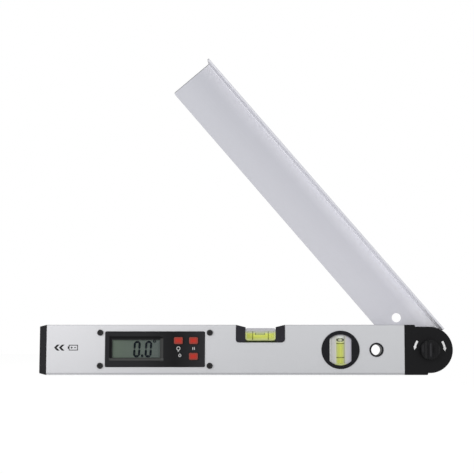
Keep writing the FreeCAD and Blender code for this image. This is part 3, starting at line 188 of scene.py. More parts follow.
def soft_box(name, place, size, power):
    light = bpy.data.lights.new(name, "AREA")
    light.shape = "SQUARE"
    light.size = size
    light.energy = power
    lamp = bpy.data.objects.new(name, light)
    lamp.location = place
    lamp.rotation_euler = (LAMP_AIM - Vector(place)).to_track_quat("-Z", "Y").to_euler()
    scene.collection.objects.link(lamp)


soft_box("key_light", (-1.2, -1.25, 0.35), size=0.9, power=13.0)
soft_box("fill_light", (0.9, -1.5, 0.3), size=0.8, power=2.5)
soft_box("top_light", (0.1, 0.2, 1.5), size=0.9, power=4.0)


# The body is one length of anodised aluminium extrusion, with faint draw lines along
# it. Painted light makes it paler at the left, painted shade darkens it towards the
# foot, and a thin line of painted shade runs along its foot and its top edge.
def paint(red, green, blue):
    """A colour as the eye sees it, 0 to 255, in the shader's own linear measure."""
    linear = []
    for value in (red, green, blue):
        share = value / 255.0
        dark = share <= 0.04045
        linear.append(share / 12.92 if dark else ((share + 0.055) / 1.055) ** 2.4)
    return (*linear, 1.0)


MIX_SHARE, MIX_FIRST, MIX_SECOND, MIX_COLOUR = 0, 6, 7, 2


class Finish(Shader):
    """A material whose steady values sit on the surface shader's own sockets."""

    def __init__(self, name, **steady):
        self.material = bpy.data.materials.new(name)
        self.material.use_nodes = True
        super().__init__(self.material.node_tree)
        self.surface = self.tree.nodes["Principled BSDF"]
        for socket, value in steady.items():
            self.surface.inputs[socket.replace("_", " ")].default_value = value

    def feed(self, socket, wire):
        self.tree.links.new(wire.socket, self.surface.inputs[socket])

    def painted_glow(self, colour):
        """A colour that the surface also gives off: a painted glow, though the part is no lamp.
        """
        self.feed("Base Color", colour)
        self.feed("Emission Color", colour)

    def place(self):
        """Where a point is on the tool, in metres."""
        return self.node("ShaderNodeTexCoord", {}, {}, "Object")

    def axis(self, name, vector=None):
        """One coordinate of a point, in millimetres."""
        source = vector or self.place()
        return self.node("ShaderNodeSeparateXYZ", {}, {"Vector": source}, name) * (1.0 / MM)

    def turned(self, angle):
        """The point's place, turned about the Y axis."""
        return self.node(
            "ShaderNodeMapping", {}, {"Vector": self.place(), "Rotation": (0.0, angle, 0.0)}
        )

    def stretched(self, vector, stretch):
        return self.node(
            "ShaderNodeVectorMath", {"operation": "MULTIPLY"}, {0: vector, 1: stretch}
        )

    def cloud(self, vector, scale, detail=3.0):
        """Soft random variation, 0 to 1."""
        return self.node(
            "ShaderNodeTexNoise", {}, {"Vector": vector, "Scale": scale, "Detail": detail}
        )

    def between(self, value, low, high):
        """Zero at low, one at high, in a straight line."""
        inputs = {"Value": value, "From Min": low, "From Max": high}
        return self.node("ShaderNodeMapRange", {"clamp": True}, inputs)

    def band(self, value, low, high, soft):
        """One from low to high, fading to zero over a soft edge."""
        rise = self.between(value, low - soft, low + soft)
        return rise * (1.0 - self.between(value, high - soft, high + soft))

    def mixed(self, share, first, second):
        """The first colour, giving way to the second; the node's sockets go by number."""
        inputs = {MIX_SHARE: share, MIX_FIRST: first, MIX_SECOND: second}
        return self.node("ShaderNodeMix", {"data_type": "RGBA"}, inputs, MIX_COLOUR)

    def relief(self, height, strength, distance):
        inputs = {"Height": height, "Strength": strength, "Distance": distance * MM}
        self.feed("Normal", self.node("ShaderNodeBump", {}, inputs))


def dress(finish, *nodes):
    """Gives CAD nodes their finish."""
    for name in nodes:
        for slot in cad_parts[name].material_slots:
            slot.material = finish.material


DRAW_LINES = (14.0, 500.0, 900.0)
DRAW_BANDS = (3.0, 60.0, 90.0)
STREAK_DEPTH = 0.35


def satin_aluminium(name, grain_angle):
    """Satin anodised aluminium and its streaks, which run along grain_angle."""
    finish = Finish(name, Metallic=0.35, Specular_IOR_Level=0.4)
    along = finish.turned(grain_angle)
    lines = finish.cloud(finish.stretched(along, DRAW_LINES), 1.0, 4.0)
    finish.feed("Roughness", lines * 0.12 + 0.4)
    finish.relief(lines, 0.06, 0.03)
    bands = finish.cloud(finish.stretched(along, DRAW_BANDS), 1.0, 2.0)
    return finish, (lines * 0.5 + bands * 0.5 - 0.5) * STREAK_DEPTH


BODY_LIT = paint(210, 210, 213)
BODY_LESS_LIT = paint(200, 201, 204)
BODY_SHADE = paint(190, 191, 194)
BODY_EDGE_SHADE = paint(150, 150, 154)
BODY_LIT_TO = -150.0
BODY_LESS_LIT_FROM = 30.0
BODY_TOP = 50.0
FOOT_LINE = (1.1, 2.1)
EDGE_LINE = 1.0
LOW_SHADE_SHARE = 0.4
FOOT_SHADE_SHARE = 0.75
BROW_SHADE_SHARE = 0.6

body_metal, body_streaks = satin_aluminium("body_aluminium", 0.0)
body_z = body_metal.axis("Z")
# Painted light: the body is paler at the left, where the light falls on it.
body_light_falloff = body_metal.between(body_metal.axis("X"), BODY_LESS_LIT_FROM, BODY_LIT_TO)
body_plain = body_metal.mixed(body_light_falloff + body_streaks, BODY_LESS_LIT, BODY_LIT)
# Painted shade towards the foot.
body_low_shade = 1.0 - body_metal.between(body_z, 0.0, BODY_TOP)
body_plain = body_metal.mixed(body_low_shade * LOW_SHADE_SHARE, body_plain, BODY_SHADE)
# Thin lines of painted shade along the foot and the top edge.
body_foot_shade = body_metal.band(body_z, *FOOT_LINE, 0.3)
body_brow_shade = body_metal.between(body_z, BODY_TOP - EDGE_LINE, BODY_TOP)
body_edge_shade = body_foot_shade * FOOT_SHADE_SHARE + body_brow_shade * BROW_SHADE_SHARE
body_metal.feed("Base Color", body_metal.mixed(body_edge_shade, body_plain, BODY_EDGE_SHADE))
dress(body_metal, "body_extrusion")


# The display bezel is moulded in black ABS with a fine spark texture. Painted light
# makes it paler towards both ends. The walls of its opening have painted light at the
# right and the foot, which face the light, and painted shade at the left and the top.
def moulded_black(name, shade, grain, roughness):
    """Black moulded plastic: shade is its colour, grain the pitch of its texture in mm."""
    finish = Finish(name, Specular_IOR_Level=0.14)
    sparks = finish.cloud(finish.place(), 1.0 / MM / grain, 2.0)
    flow = finish.cloud(finish.place(), 45.0, 2.0)
    paler = (*(channel * 1.7 for channel in shade[:3]), 1.0)
    finish.plain = finish.mixed(flow * 0.6 + sparks * 0.4, shade, paler)
    finish.feed("Base Color", finish.plain)
    finish.feed("Roughness", sparks * 0.2 + roughness)
    finish.relief(sparks, 0.25, 0.06)
    return finish


BEZEL_BLACK = paint(9, 9, 11)
BEZEL_LIT = paint(40, 40, 43)
WALL_LIT = paint(70, 71, 70)
WALL_SHADE = paint(1, 1, 2)
RECESS_X = (-116.2, -62.0)
RECESS_Z = (13.9, 38.7)
LIT_LEFT = (-52.0, -82.0)
LIT_RIGHT = (-50.0, -22.0)
LEFT_LIGHTING = 0.58
RIGHT_LIGHTING = 0.9
GLASS_MARGIN = 1.5
WALL_INSET = 0.3
FOOT_INSET = 0.5
LEFT_WALL = 2.0
LEFT_FOOT = 3.0
BROW_WALL = 2.4
WALL_SOFT = 0.5

window_low, window_high = [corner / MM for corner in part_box("display_window")]
glass_right = window_high.x - GLASS_MARGIN
glass_bottom = window_low.z + GLASS_MARGIN

bezel_plastic = moulded_black("bezel_plastic", BEZEL_BLACK, grain=0.7, roughness=0.42)
bezel_x = bezel_plastic.axis("X")
bezel_z = bezel_plastic.axis("Z")
# Painted light: the bezel is paler towards both ends.
bezel_left = bezel_plastic.between(bezel_x, *LIT_LEFT)
bezel_right = bezel_plastic.between(bezel_x, *LIT_RIGHT)
bezel_light_drift = bezel_left * LEFT_LIGHTING + bezel_right * RIGHT_LIGHTING
bezel_plain = bezel_plastic.mixed(bezel_light_drift, bezel_plastic.plain, BEZEL_LIT)
# Painted light on the right and foot walls of the opening.
recess_side = bezel_plastic.band(bezel_x, glass_right, RECESS_X[1] - WALL_INSET, 0.2)
recess_foot = bezel_plastic.band(bezel_z, RECESS_Z[0] + FOOT_INSET, glass_bottom, 0.2)
recess_height = bezel_plastic.band(bezel_z, *RECESS_Z, WALL_SOFT)
recess_width = bezel_plastic.band(bezel_x, *RECESS_X, WALL_SOFT)
wall_lit = (recess_side * recess_height * 0.6).larger(recess_foot * recess_width)
bezel_lit = bezel_plastic.mixed(wall_lit, bezel_plain, WALL_LIT)
# Painted shade on the left and top walls of the opening.
recess_left = bezel_plastic.band(bezel_x, RECESS_X[0], RECESS_X[0] + LEFT_WALL, 0.3)
brow_low = RECESS_Z[1] - BROW_WALL
recess_brow = bezel_plastic.band(bezel_z, brow_low, RECESS_Z[1] - WALL_INSET, 0.3)
left_height = bezel_plastic.band(bezel_z, RECESS_Z[0] + LEFT_FOOT, RECESS_Z[1], WALL_SOFT)
wall_shade = (recess_left * left_height).larger(recess_brow * recess_width)
bezel_plastic.feed("Base Color", bezel_plastic.mixed(wall_shade, bezel_lit, WALL_SHADE))
dress(bezel_plastic, "display_bezel")

# The window is a clear acrylic pane, pressed into the bezel over the display. It has
# a faint uneven haze.
PANE_DARK = paint(30, 32, 33)
PANE_PALE = paint(44, 46, 46)

window_pane = Finish("window_pane", Roughness=0.06, Specular_IOR_Level=0.5)
pane_haze = window_pane.cloud(window_pane.place(), 60.0)
window_pane.feed("Base Color", window_pane.mixed(pane_haze, PANE_DARK, PANE_PALE))
window_pane.feed("Alpha", pane_haze * 0.06 + 0.07)
dress(window_pane, "display_window")

# The liquid-crystal cell lies behind the window. Its face is a grey-green polarising
# film, glued on a hair proud of the glass, with painted shade at the top and both
# sides, where the recess shades it.
FILM_THICKNESS = 0.06
FILM_X = (-113.6, -65.5)
FILM_Z = (17.2, 35.0)
FILM_CORNER = 0.6
SHADE_TOP = (33.0, 35.5)
SHADE_LEFT = (-114.6, -110.6)
SHADE_RIGHT = (-68.5, -65.0)
CELL_DARK = paint(66, 68, 67)
CELL_PALE = paint(78, 80, 79)
FILM_GREEN = paint(101, 115, 101)
FILM_GREY = paint(91, 100, 98)
FILM_SHADE = paint(38, 42, 40)

panel_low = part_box("lcd_panel")[0] / MM
glass_edge = Finish("cell_glass", Roughness=0.4, Specular_IOR_Level=0.2)
glass_tint = glass_edge.cloud(glass_edge.place(), 80.0)
glass_edge.feed("Base Color", glass_edge.mixed(glass_tint, CELL_DARK, CELL_PALE))
dress(glass_edge, "lcd_panel")

film_finish = Finish("polarising_film", Roughness=0.45, Specular_IOR_Level=0.2)
film_x = film_finish.axis("X")
film_drift = film_finish.between(film_x, *FILM_X)
film_cloud = film_finish.cloud(film_finish.place(), 70.0, 2.0)
film_plain = film_finish.mixed(film_drift * 0.8 + film_cloud * 0.2, FILM_GREEN, FILM_GREY)
# Painted shade at the top and both sides of the film.
top_shade = film_finish.between(film_finish.axis("Z"), *SHADE_TOP)
left_shade = 1.0 - film_finish.between(film_x, *SHADE_LEFT)
right_shade = film_finish.between(film_x, *SHADE_RIGHT)
side_shade = (left_shade * 0.6).larger(right_shade * 0.4)
film_painted_shade = (top_shade * 0.7).larger(side_shade)
film_finish.feed("Base Color", film_finish.mixed(film_painted_shade, film_plain, FILM_SHADE))


def make_piece(form, name, body, finish):
    """Turns a form drawn in millimetres into a named piece that rides on a body."""
    bmesh.ops.scale(form, verts=form.verts, vec=(MM, MM, MM))
    bmesh.ops.recalc_face_normals(form, faces=form.faces)
    mesh = bpy.data.meshes.new(name)
    form.to_mesh(mesh)
    form.free()
    mesh.materials.append(finish.material)
    piece = bpy.data.objects.new(name, mesh)
    scene.collection.objects.link(piece)
    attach(piece, body)
    return piece


def thicken(form, thickness):
    """Gives a flat form its thickness, upwards."""
    grown = bmesh.ops.extrude_face_region(form, geom=form.faces[:])["geom"]
    raised = [part for part in grown if isinstance(part, bmesh.types.BMVert)]
    bmesh.ops.translate(form, verts=raised, vec=(0.0, 0.0, thickness))


def stand_up(form, x, y, z):
    """Turns a form that lies flat so that its top faces the front, at a place."""
    turn = Matrix.Rotation(math.radians(90.0), 3, "X")
    bmesh.ops.rotate(form, verts=form.verts, cent=(0.0, 0.0, 0.0), matrix=turn)
    bmesh.ops.translate(form, verts=form.verts, vec=(x, y, z))


def flat_plate(form, x, y, width, height):
    """Adds a flat rectangle about x, y and returns its vertices."""
    corners = bmesh.ops.create_grid(form, x_segments=1, y_segments=1, size=0.5)["verts"]
    bmesh.ops.scale(form, verts=corners, vec=(width, height, 1.0))
    bmesh.ops.translate(form, verts=corners, vec=(x, y, 0.0))
    return corners


film_form = bmesh.new()
flat_plate(film_form, 0.0, 0.0, FILM_X[1] - FILM_X[0], FILM_Z[1] - FILM_Z[0])
thicken(film_form, FILM_THICKNESS)
bmesh.ops.bevel(
    film_form,
    geom=[edge for edge in film_form.edges if edge.verts[0].co.z != edge.verts[1].co.z],
    offset=FILM_CORNER,
    segments=3,
    affect="EDGES",
    profile=0.5,
    material=-1,
)
stand_up(film_form, sum(FILM_X) / 2.0, panel_low.y, sum(FILM_Z) / 2.0)
make_piece(film_form, "lcd_film", "body", film_finish)

# The display shows a plain reading of zero: two slanted seven-segment figures, the
# point between them and the small degree ring, all dark segments of the cell.
DIGIT_WIDTH = 4.8
DIGIT_HEIGHT = 14.2
SEGMENT_WIDTH = 2.2
SEGMENT_GAP = 0.1
DIGIT_SLANT = math.tan(math.radians(3.2))
DIGIT_PLACES = (-88.8, -77.3)
DIGIT_MIDDLE = 25.7
POINT_PLACE = (-83.5, 19.2)
POINT_SIZE = 2.4
DEGREE_PLACE = (-71.2, 33.6)
DEGREE_RADIUS = 1.5
DEGREE_LINE = 0.9
RING_POINTS = 20
SEGMENT_DEPTH = 0.03
INK_DARK = paint(6, 12, 20)
INK_PALE = paint(14, 22, 31)

segment_ink = Finish("segment_ink", Roughness=0.6, Specular_IOR_Level=0.04)
segment_cloud = segment_ink.cloud(segment_ink.place(), 300.0)
segment_ink.feed("Base Color", segment_ink.mixed(segment_cloud, INK_DARK, INK_PALE))


def segment(form, x, y, length, upright):
    """Adds one six-sided segment of a figure, lying flat about x, y."""
    bar = bmesh.ops.create_circle(form, cap_ends=True, segments=6, radius=1.0)["verts"]
    across = SEGMENT_WIDTH / math.sqrt(3.0)
    bmesh.ops.scale(form, verts=bar, vec=(across, SEGMENT_WIDTH, 1.0))
    reach = length / 2.0 - SEGMENT_WIDTH
    upper = [corner for corner in bar if corner.co.y > 0.0]
    lower = [corner for corner in bar if corner.co.y < 0.0]
    bmesh.ops.translate(form, verts=upper, vec=(0.0, reach, 0.0))
    bmesh.ops.translate(form, verts=lower, vec=(0.0, -reach, 0.0))
    if not upright:
        turn = Matrix.Rotation(math.radians(90.0), 3, "Z")
        bmesh.ops.rotate(form, verts=bar, cent=(0.0, 0.0, 0.0), matrix=turn)
    bmesh.ops.translate(form, verts=bar, vec=(x, y, 0.0))


def flat_ring(form, x, y, radius, line, points):
    """Adds a flat ring about x, y."""
    edge = bmesh.ops.create_circle(form, cap_ends=True, segments=points, radius=radius)["verts"]
    bmesh.ops.translate(form, verts=edge, vec=(x, y, 0.0))
    disc = [face for face in form.faces if len(face.verts) == points]
    bmesh.ops.inset_region(form, faces=disc, thickness=line, use_boundary=True)
    middle = [face for face in form.faces if len(face.verts) == points]
    bmesh.ops.delete(form, geom=middle, context="FACES")


figures = bmesh.new()
half_width = DIGIT_WIDTH / 2.0
half_digit = DIGIT_HEIGHT / 2.0
for place in DIGIT_PLACES:
    for height in (-half_digit, half_digit):
        segment(figures, place, height, DIGIT_WIDTH - SEGMENT_GAP, False)
    for edge in (-half_width, half_width):
        for height in (-half_digit / 2.0, half_digit / 2.0):
            segment(figures, place + edge, height, half_digit - SEGMENT_GAP, True)
shear = Matrix.Identity(4)
shear[0][1] = DIGIT_SLANT
bmesh.ops.transform(figures, verts=figures.verts, matrix=shear)
flat_plate(figures, POINT_PLACE[0], POINT_PLACE[1] - DIGIT_MIDDLE, POINT_SIZE, POINT_SIZE)
degree_x, degree_z = DEGREE_PLACE
flat_ring(figures, degree_x, degree_z - DIGIT_MIDDLE, DEGREE_RADIUS, DEGREE_LINE, RING_POINTS)
thicken(figures, SEGMENT_DEPTH)
stand_up(figures, 0.0, panel_low.y - FILM_THICKNESS, DIGIT_MIDDLE)
make_piece(figures, "lcd_figures", "body", segment_ink)

# The light guide behind the cell is a plate of milky acrylic. Its white shows only
# at its edges, once the bezel is off.
GUIDE_DULL = paint(214, 216, 212)
GUIDE_MILK = paint(232, 234, 230)

guide = Finish("light_guide", Roughness=0.4)
guide_cloud = guide.cloud(guide.place(), 90.0)
guide.feed("Base Color", guide.mixed(guide_cloud, GUIDE_DULL, GUIDE_MILK))
dress(guide, "lcd_backlight")

# The three keys are moulded in red-orange ABS, glossy on top, with painted shade
# round their edges, where they drop into the bezel.
KEY_CORE = paint(184, 44, 31)
KEY_EDGE_SHADE = paint(134, 64, 54)
KEY_RIM = 3.4

for key in ("backlight_button", "hold_button", "power_button"):
    key_low, key_high = [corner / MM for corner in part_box(key)]
    key_middle = (key_low + key_high) / 2.0
    key_finish = Finish(key + "_red", Roughness=0.3, Specular_IOR_Level=0.25)
    # Painted shade round the key's edges, fading in towards its middle.
    from_side = (key_high.x - key_low.x) / 2.0 - abs(key_finish.axis("X") - key_middle.x)
    from_end = (key_high.z - key_low.z) / 2.0 - abs(key_finish.axis("Z") - key_middle.z)
    rim = from_side.smaller(from_end)
    key_cloud = key_finish.cloud(key_finish.place(), 500.0)
    key_out_of_shade = key_finish.between(rim + key_cloud * 0.4, 0.3, KEY_RIM)
    key_finish.feed("Base Color", key_finish.mixed(key_out_of_shade * key_out_of_shade, KEY_EDGE_SHADE, KEY_CORE))
    key_finish.relief(key_cloud, 0.08, 0.05)
    dress(key_finish, key)

# The signs beside the keys are pad-printed in white: a lamp, two bars for hold, and
# a switch ring with its bar.
PRINT_DEPTH = 0.04
BEZEL_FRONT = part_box("display_bezel")[0].y / MM
SIGN_LINE = 0.7
LAMP_PLACE = (-47.1, 26.4)
LAMP_RADIUS = 2.0
HOLD_PLACE = (-31.9, 26.3)
LAMP_FOOT = (1.3, 1.0)
LAMP_GAP = 0.6
HOLD_BAR = (0.8, 2.6)
HOLD_SPREAD = 0.8
SWITCH_PLACE = (-45.6, 19.4)
SWITCH_RADIUS = 1.5
SWITCH_BAR = (0.5, 1.6)
SIGN_POINTS = 24
SIGN_DULL = paint(176, 176, 176)
SIGN_WHITE = paint(206, 206, 206)


def printed(name, dark, light):
    """A pad-printed ink, a little uneven."""
    finish = Finish(name, Roughness=0.55, Specular_IOR_Level=0.3)
    finish.feed("Base Color", finish.mixed(finish.cloud(finish.place(), 900.0), dark, light))
    return finish


key_print = printed("key_print", SIGN_DULL, SIGN_WHITE)

signs = bmesh.new()
flat_ring(signs, *LAMP_PLACE, LAMP_RADIUS, SIGN_LINE, SIGN_POINTS)
flat_plate(signs, LAMP_PLACE[0], LAMP_PLACE[1] - LAMP_RADIUS - LAMP_GAP, *LAMP_FOOT)
for shift in (-HOLD_SPREAD, HOLD_SPREAD):
    flat_plate(signs, HOLD_PLACE[0] + shift, HOLD_PLACE[1], *HOLD_BAR)
flat_ring(signs, *SWITCH_PLACE, SWITCH_RADIUS, SIGN_LINE, SIGN_POINTS)
flat_plate(signs, SWITCH_PLACE[0], SWITCH_PLACE[1] + SWITCH_RADIUS, *SWITCH_BAR)
thicken(signs, PRINT_DEPTH)
stand_up(signs, 0.0, BEZEL_FRONT, 0.0)
make_piece(signs, "key_signs", "body", key_print)


# The board inside is green fibreglass with copper tracks under a lacquer, and black
# and tinned parts on it. The switches are small black and steel blocks.
def mottled(name, light, dark, grain, roughness, metallic=0.0):
    """A finish with a mottled colour and a light grain, its pitch in mm."""
    finish = Finish(name, Metallic=metallic, Specular_IOR_Level=0.4)
    mottle = finish.cloud(finish.place(), 1.0 / MM / grain)
    finish.feed("Base Color", finish.mixed(mottle, dark, light))
    finish.feed("Roughness", mottle * 0.15 + roughness)
    finish.relief(mottle, 0.2, 0.05)
    return finish


BOARD_GREEN = paint(28, 92, 52)
BOARD_DARK = paint(16, 62, 36)
SWITCH_LIGHT = paint(46, 46, 48)
SWITCH_DARK = paint(26, 26, 28)

board = mottled("board_green", BOARD_GREEN, BOARD_DARK, grain=2.5, roughness=0.35)
dress(board, "main_board", "encoder_stator", "encoder_rotor")
switch_plastic = mottled("switch_plastic", SWITCH_LIGHT, SWITCH_DARK, grain=0.8, roughness=0.5)
dress(switch_plastic, "tact_switches", "battery_contact_block")

# The small screws are zinc-plated steel. The four on the front are blackened, and
# their heads catch a soft light.
ZINC_LIGHT = paint(196, 198, 200)
ZINC_DARK = paint(160, 162, 166)
BLACKED_LIGHT = paint(18, 18, 20)
BLACKED_DARK = paint(6, 6, 8)

zinc_steel = mottled("zinc_steel", ZINC_LIGHT, ZINC_DARK, grain=0.9, roughness=0.28, metallic=1.0)
dress(zinc_steel, "board_screws", "cover_screws", "housing_screws", "hub_screws")
black_steel = mottled(
    "blackened_steel", BLACKED_LIGHT, BLACKED_DARK, grain=0.8, roughness=0.4, metallic=0.1
)
dress(black_steel, "display_screws")

# The holders of both vials and the lining of the hanging hole are moulded in black
# ABS, smoother than the bezel. Painted light makes them paler towards the left, and
# the floor under the top vial has painted yellow-green light from the dyed liquid.
HOLDER_BLACK = paint(15, 15, 19)
HOLDER_LIT = paint(46, 45, 51)
HOLDER_LIQUID_LIGHT = paint(32, 38, 4)
HOLDER_LIGHT_FADE = (50.0, 95.0)
HOLDER_FLOOR = 2.5

holder_plastic = moulded_black("holder_plastic", HOLDER_BLACK, grain=0.5, roughness=0.36)
# Painted light: paler towards the left.
holder_lit = 1.0 - holder_plastic.between(holder_plastic.axis("X"), *HOLDER_LIGHT_FADE)
holder_plain = holder_plastic.mixed(holder_lit * 0.7, holder_plastic.plain, HOLDER_LIT)
seat_low, seat_high = [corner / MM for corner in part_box("top_vial_block")]
# Painted yellow-green light from the liquid on the floor under the top vial.
holder_x = holder_plastic.band(holder_plastic.axis("X"), seat_low.x, seat_high.x, 1.5)
floor_low = seat_low.z - HOLDER_FLOOR
holder_foot = holder_plastic.band(holder_plastic.axis("Z"), floor_low, seat_low.z, 0.4)
holder_colour = holder_plastic.mixed(holder_x * holder_foot, holder_plain, HOLDER_LIQUID_LIGHT)
holder_plastic.feed("Base Color", holder_colour)
dress(
    holder_plastic, "top_vial_holder", "round_vial_holder", "round_vial_rear_ring", "hang_grommet"
)

# Each vial is a block of clear acrylic with the bubble tube bored through it. It
# scatters pale light, except where the tube lies under its surface, and gives off a
# painted glow, with painted yellow-green light from the liquid near the tube. The round
# one has a painted glint along its left edge and painted shade under its ring at the top.
top_low, top_high = [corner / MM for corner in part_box("top_vial_liquid")]
top_middle = (top_low + top_high) / 2.0
top_radius = (top_high.z - top_low.z) / 2.0
round_low, round_high = [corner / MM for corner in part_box("round_vial_liquid")]
round_middle = (round_low + round_high) / 2.0
round_radius = (round_high.x - round_low.x) / 2.0

BLOCK_PAINTED_GLOW = 0.08
BLOCK_SWIRL = (300.0, 300.0, 60.0)


def clear_acrylic(name, across, along, liquid, tints):
    """Clear acrylic round a tube: across and along are the tube's axes."""
    finish = Finish(name, Roughness=0.08, Specular_IOR_Level=0.3, Emission_Strength=BLOCK_PAINTED_GLOW)
    low, high = liquid
    centre = (low + high) / 2.0
    radius = (getattr(high, across) - getattr(low, across)) / 2.0
    reach = (getattr(high, along) - getattr(low, along)) / 2.0
    off_axis = finish.axis(across.upper()) - getattr(centre, across)
    off_middle = abs(finish.axis(along.upper()) - getattr(centre, along))
    beside = finish.between(abs(off_axis), radius - 0.4, radius + 0.3)
    finish.beyond = finish.between(off_middle, reach - 0.6, reach)
    scatter = beside.larger(finish.beyond)
    swirl = finish.cloud(finish.stretched(finish.place(), BLOCK_SWIRL), 1.0)
    tint = finish.between(off_axis, -2.2 * radius, 2.2 * radius)
    finish.plain = finish.mixed(tint * 0.8 + swirl * 0.2, *tints)
    finish.feed("Alpha", scatter * 0.9 + 0.04)
    return finish


TOP_ACRYLIC = (paint(180, 182, 170), paint(183, 182, 191))
ROUND_ACRYLIC = (paint(197, 197, 192), paint(193, 191, 203))
BLOCK_LIQUID_LIGHT = paint(206, 214, 142)
BLOCK_NEAR_LIGHT = paint(206, 208, 164)
BLOCK_GLINT = paint(252, 252, 250)
BLOCK_SHADED = paint(52, 52, 54)
NEAR_REACH = 2.0
WINDOW_RADIUS = 15.5
TOP_LIQUID_LIGHT = (43.8, 41.8)
ROUND_LIQUID_LIGHT = (31.0, 30.0)
GLINT_EDGE = (1.7, 0.9)
RING_EDGE = (0.84, 0.98)
RING_SHADE = 0.8

top_acrylic = clear_acrylic("top_acrylic", "z", "x", (top_low, top_high), TOP_ACRYLIC)
# Painted yellow-green light from the liquid in the block below the tube.
top_liquid_light = top_acrylic.between(top_acrylic.axis("Z"), *TOP_LIQUID_LIGHT)
top_acrylic.painted_glow(top_acrylic.mixed(top_liquid_light, top_acrylic.plain, BLOCK_LIQUID_LIGHT))
dress(top_acrylic, "top_vial_block")

block_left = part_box("round_vial_block")[0].x / MM
round_acrylic = clear_acrylic("round_acrylic", "x", "z", (round_low, round_high), ROUND_ACRYLIC)
round_off = round_acrylic.axis("X") - round_middle.x
# Painted yellow-green light from the liquid beside the tube.
round_away = round_acrylic.between(abs(round_off), round_radius, round_radius + NEAR_REACH)
round_near_light = (1.0 - round_away) * (1.0 - round_acrylic.beyond)
round_plain = round_acrylic.mixed(round_near_light * 0.5, round_acrylic.plain, BLOCK_NEAR_LIGHT)
# A painted glint along the block's left edge.
glint_x = round_acrylic.axis("X") - block_left
round_glint = round_acrylic.between(glint_x, *GLINT_EDGE)
round_plain = round_acrylic.mixed(round_glint, round_plain, BLOCK_GLINT)
# Painted shade under the ring at the top.
round_x = round_off / WINDOW_RADIUS
round_z = (round_acrylic.axis("Z") - round_middle.z) / WINDOW_RADIUS
under_ring = round_acrylic.between(round_x * round_x + round_z * round_z, *RING_EDGE)
ring_shade = under_ring * round_acrylic.between(round_z, 0.0, 0.4) * RING_SHADE
round_plain = round_acrylic.mixed(ring_shade, round_plain, BLOCK_SHADED)
# Painted yellow-green light from the liquid past the tube's foot.
round_foot = round_acrylic.between(round_acrylic.axis("Z"), *ROUND_LIQUID_LIGHT)
round_liquid_light = round_acrylic.between(round_acrylic.beyond * round_foot, 0.3, 0.9)
round_acrylic.painted_glow(round_acrylic.mixed(round_liquid_light, round_plain, BLOCK_LIQUID_LIGHT))
dress(round_acrylic, "round_vial_block")

# The liquid in both vials is spirit dyed yellow-green, paler where its top thins it. It
# gives off a painted glow, and painted light makes it paler at the tube's sides. It wets
# the bore, so it stands for the plain CAD fill.
LIQUID_CORE = paint(183, 190, 86)
LIQUID_SIDE_LIT = paint(212, 219, 146)
LIQUID_PAINTED_GLOW = 0.60
TOP_THIN = paint(190, 194, 166)
TOP_THIN_FROM = 41.3
ROUND_THIN = paint(224, 231, 172)
ROUND_THIN_FROM = 31.8
ROUND_CLEAR = paint(218, 220, 216)
ROUND_CLEAR_FROM = 36.0
ZONE_FADE = 1.2
WET_FILM = 0.05
TUBE_SIDES = 64
TUBE_END = 0.9


def vial_liquid(name, across, middle, radius, *zones):
    """Dyed spirit. Each zone is a height from which another colour takes over."""
    finish = Finish(name, Roughness=0.15, Specular_IOR_Level=0.25, Emission_Strength=LIQUID_PAINTED_GLOW)
    off_axis = abs(finish.axis(across) - middle) / radius
    swirl = finish.cloud(finish.place(), 120.0, 2.0) - 0.5
    # Painted light: paler towards the tube's sides.
    side_light_share = finish.between(off_axis + swirl * 0.3, 0.35, 0.95)
    colour = finish.mixed(side_light_share, LIQUID_CORE, LIQUID_SIDE_LIT)
    height = finish.axis("Z") + swirl * 0.6
    for zone_from, zone_colour in zones:
        share = finish.between(height, zone_from, zone_from + ZONE_FADE)
        colour = finish.mixed(share, colour, zone_colour)
    finish.painted_glow(colour)
    return finish


def round_bar(form, radius, length, end):
    """Adds a bar about the Z axis, its ends bevelled."""
    bmesh.ops.create_cone(
        form, cap_ends=True, segments=TUBE_SIDES, radius1=radius, radius2=radius, depth=length
    )
    caps = [face for face in form.faces if len(face.verts) == TUBE_SIDES]
    rims = list({edge for face in caps for edge in face.edges})
    bmesh.ops.bevel(
        form, geom=rims, offset=end, segments=4, affect="EDGES", profile=0.5, material=-1
    )


def lie_down(form):
    """Turns a form that stands on the Z axis so that it lies along X."""
    turn = Matrix.Rotation(math.radians(90.0), 3, "Y")
    bmesh.ops.rotate(form, verts=form.verts, cent=(0.0, 0.0, 0.0), matrix=turn)


top_spirit = bmesh.new()
round_bar(top_spirit, top_radius + WET_FILM, top_high.x - top_low.x, TUBE_END)
lie_down(top_spirit)
bmesh.ops.translate(top_spirit, verts=top_spirit.verts, vec=top_middle)
top_zone = (TOP_THIN_FROM, TOP_THIN)
top_dye = vial_liquid("top_spirit_dye", "Z", top_middle.z, top_radius, top_zone)
top_piece = make_piece(top_spirit, "top_vial_spirit", "body", top_dye)
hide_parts("top_vial_liquid")

round_spirit = bmesh.new()
round_bar(round_spirit, round_radius + WET_FILM, round_high.z - round_low.z, TUBE_END)
bmesh.ops.translate(round_spirit, verts=round_spirit.verts, vec=round_middle)
round_zones = ((ROUND_THIN_FROM, ROUND_THIN), (ROUND_CLEAR_FROM, ROUND_CLEAR))
round_dye = vial_liquid("round_spirit_dye", "X", round_middle.x, round_radius, *round_zones)
round_piece = make_piece(round_spirit, "round_vial_spirit", "body", round_dye)
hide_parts("round_vial_liquid")

# Each tube has two dark rings round it, which the bubble is read against. On the top
# vial they pale where the liquid does.
TOP_LINES = (27.0, 42.7)
ROUND_LINES = (31.5, 17.3)
LINE_WIDTH = 0.9
LINE_LIFT = 0.06
LINE_DARK = paint(142, 150, 54)
LINE_PALE = paint(162, 169, 70)
LINE_FADE = (40.9, 42.2)

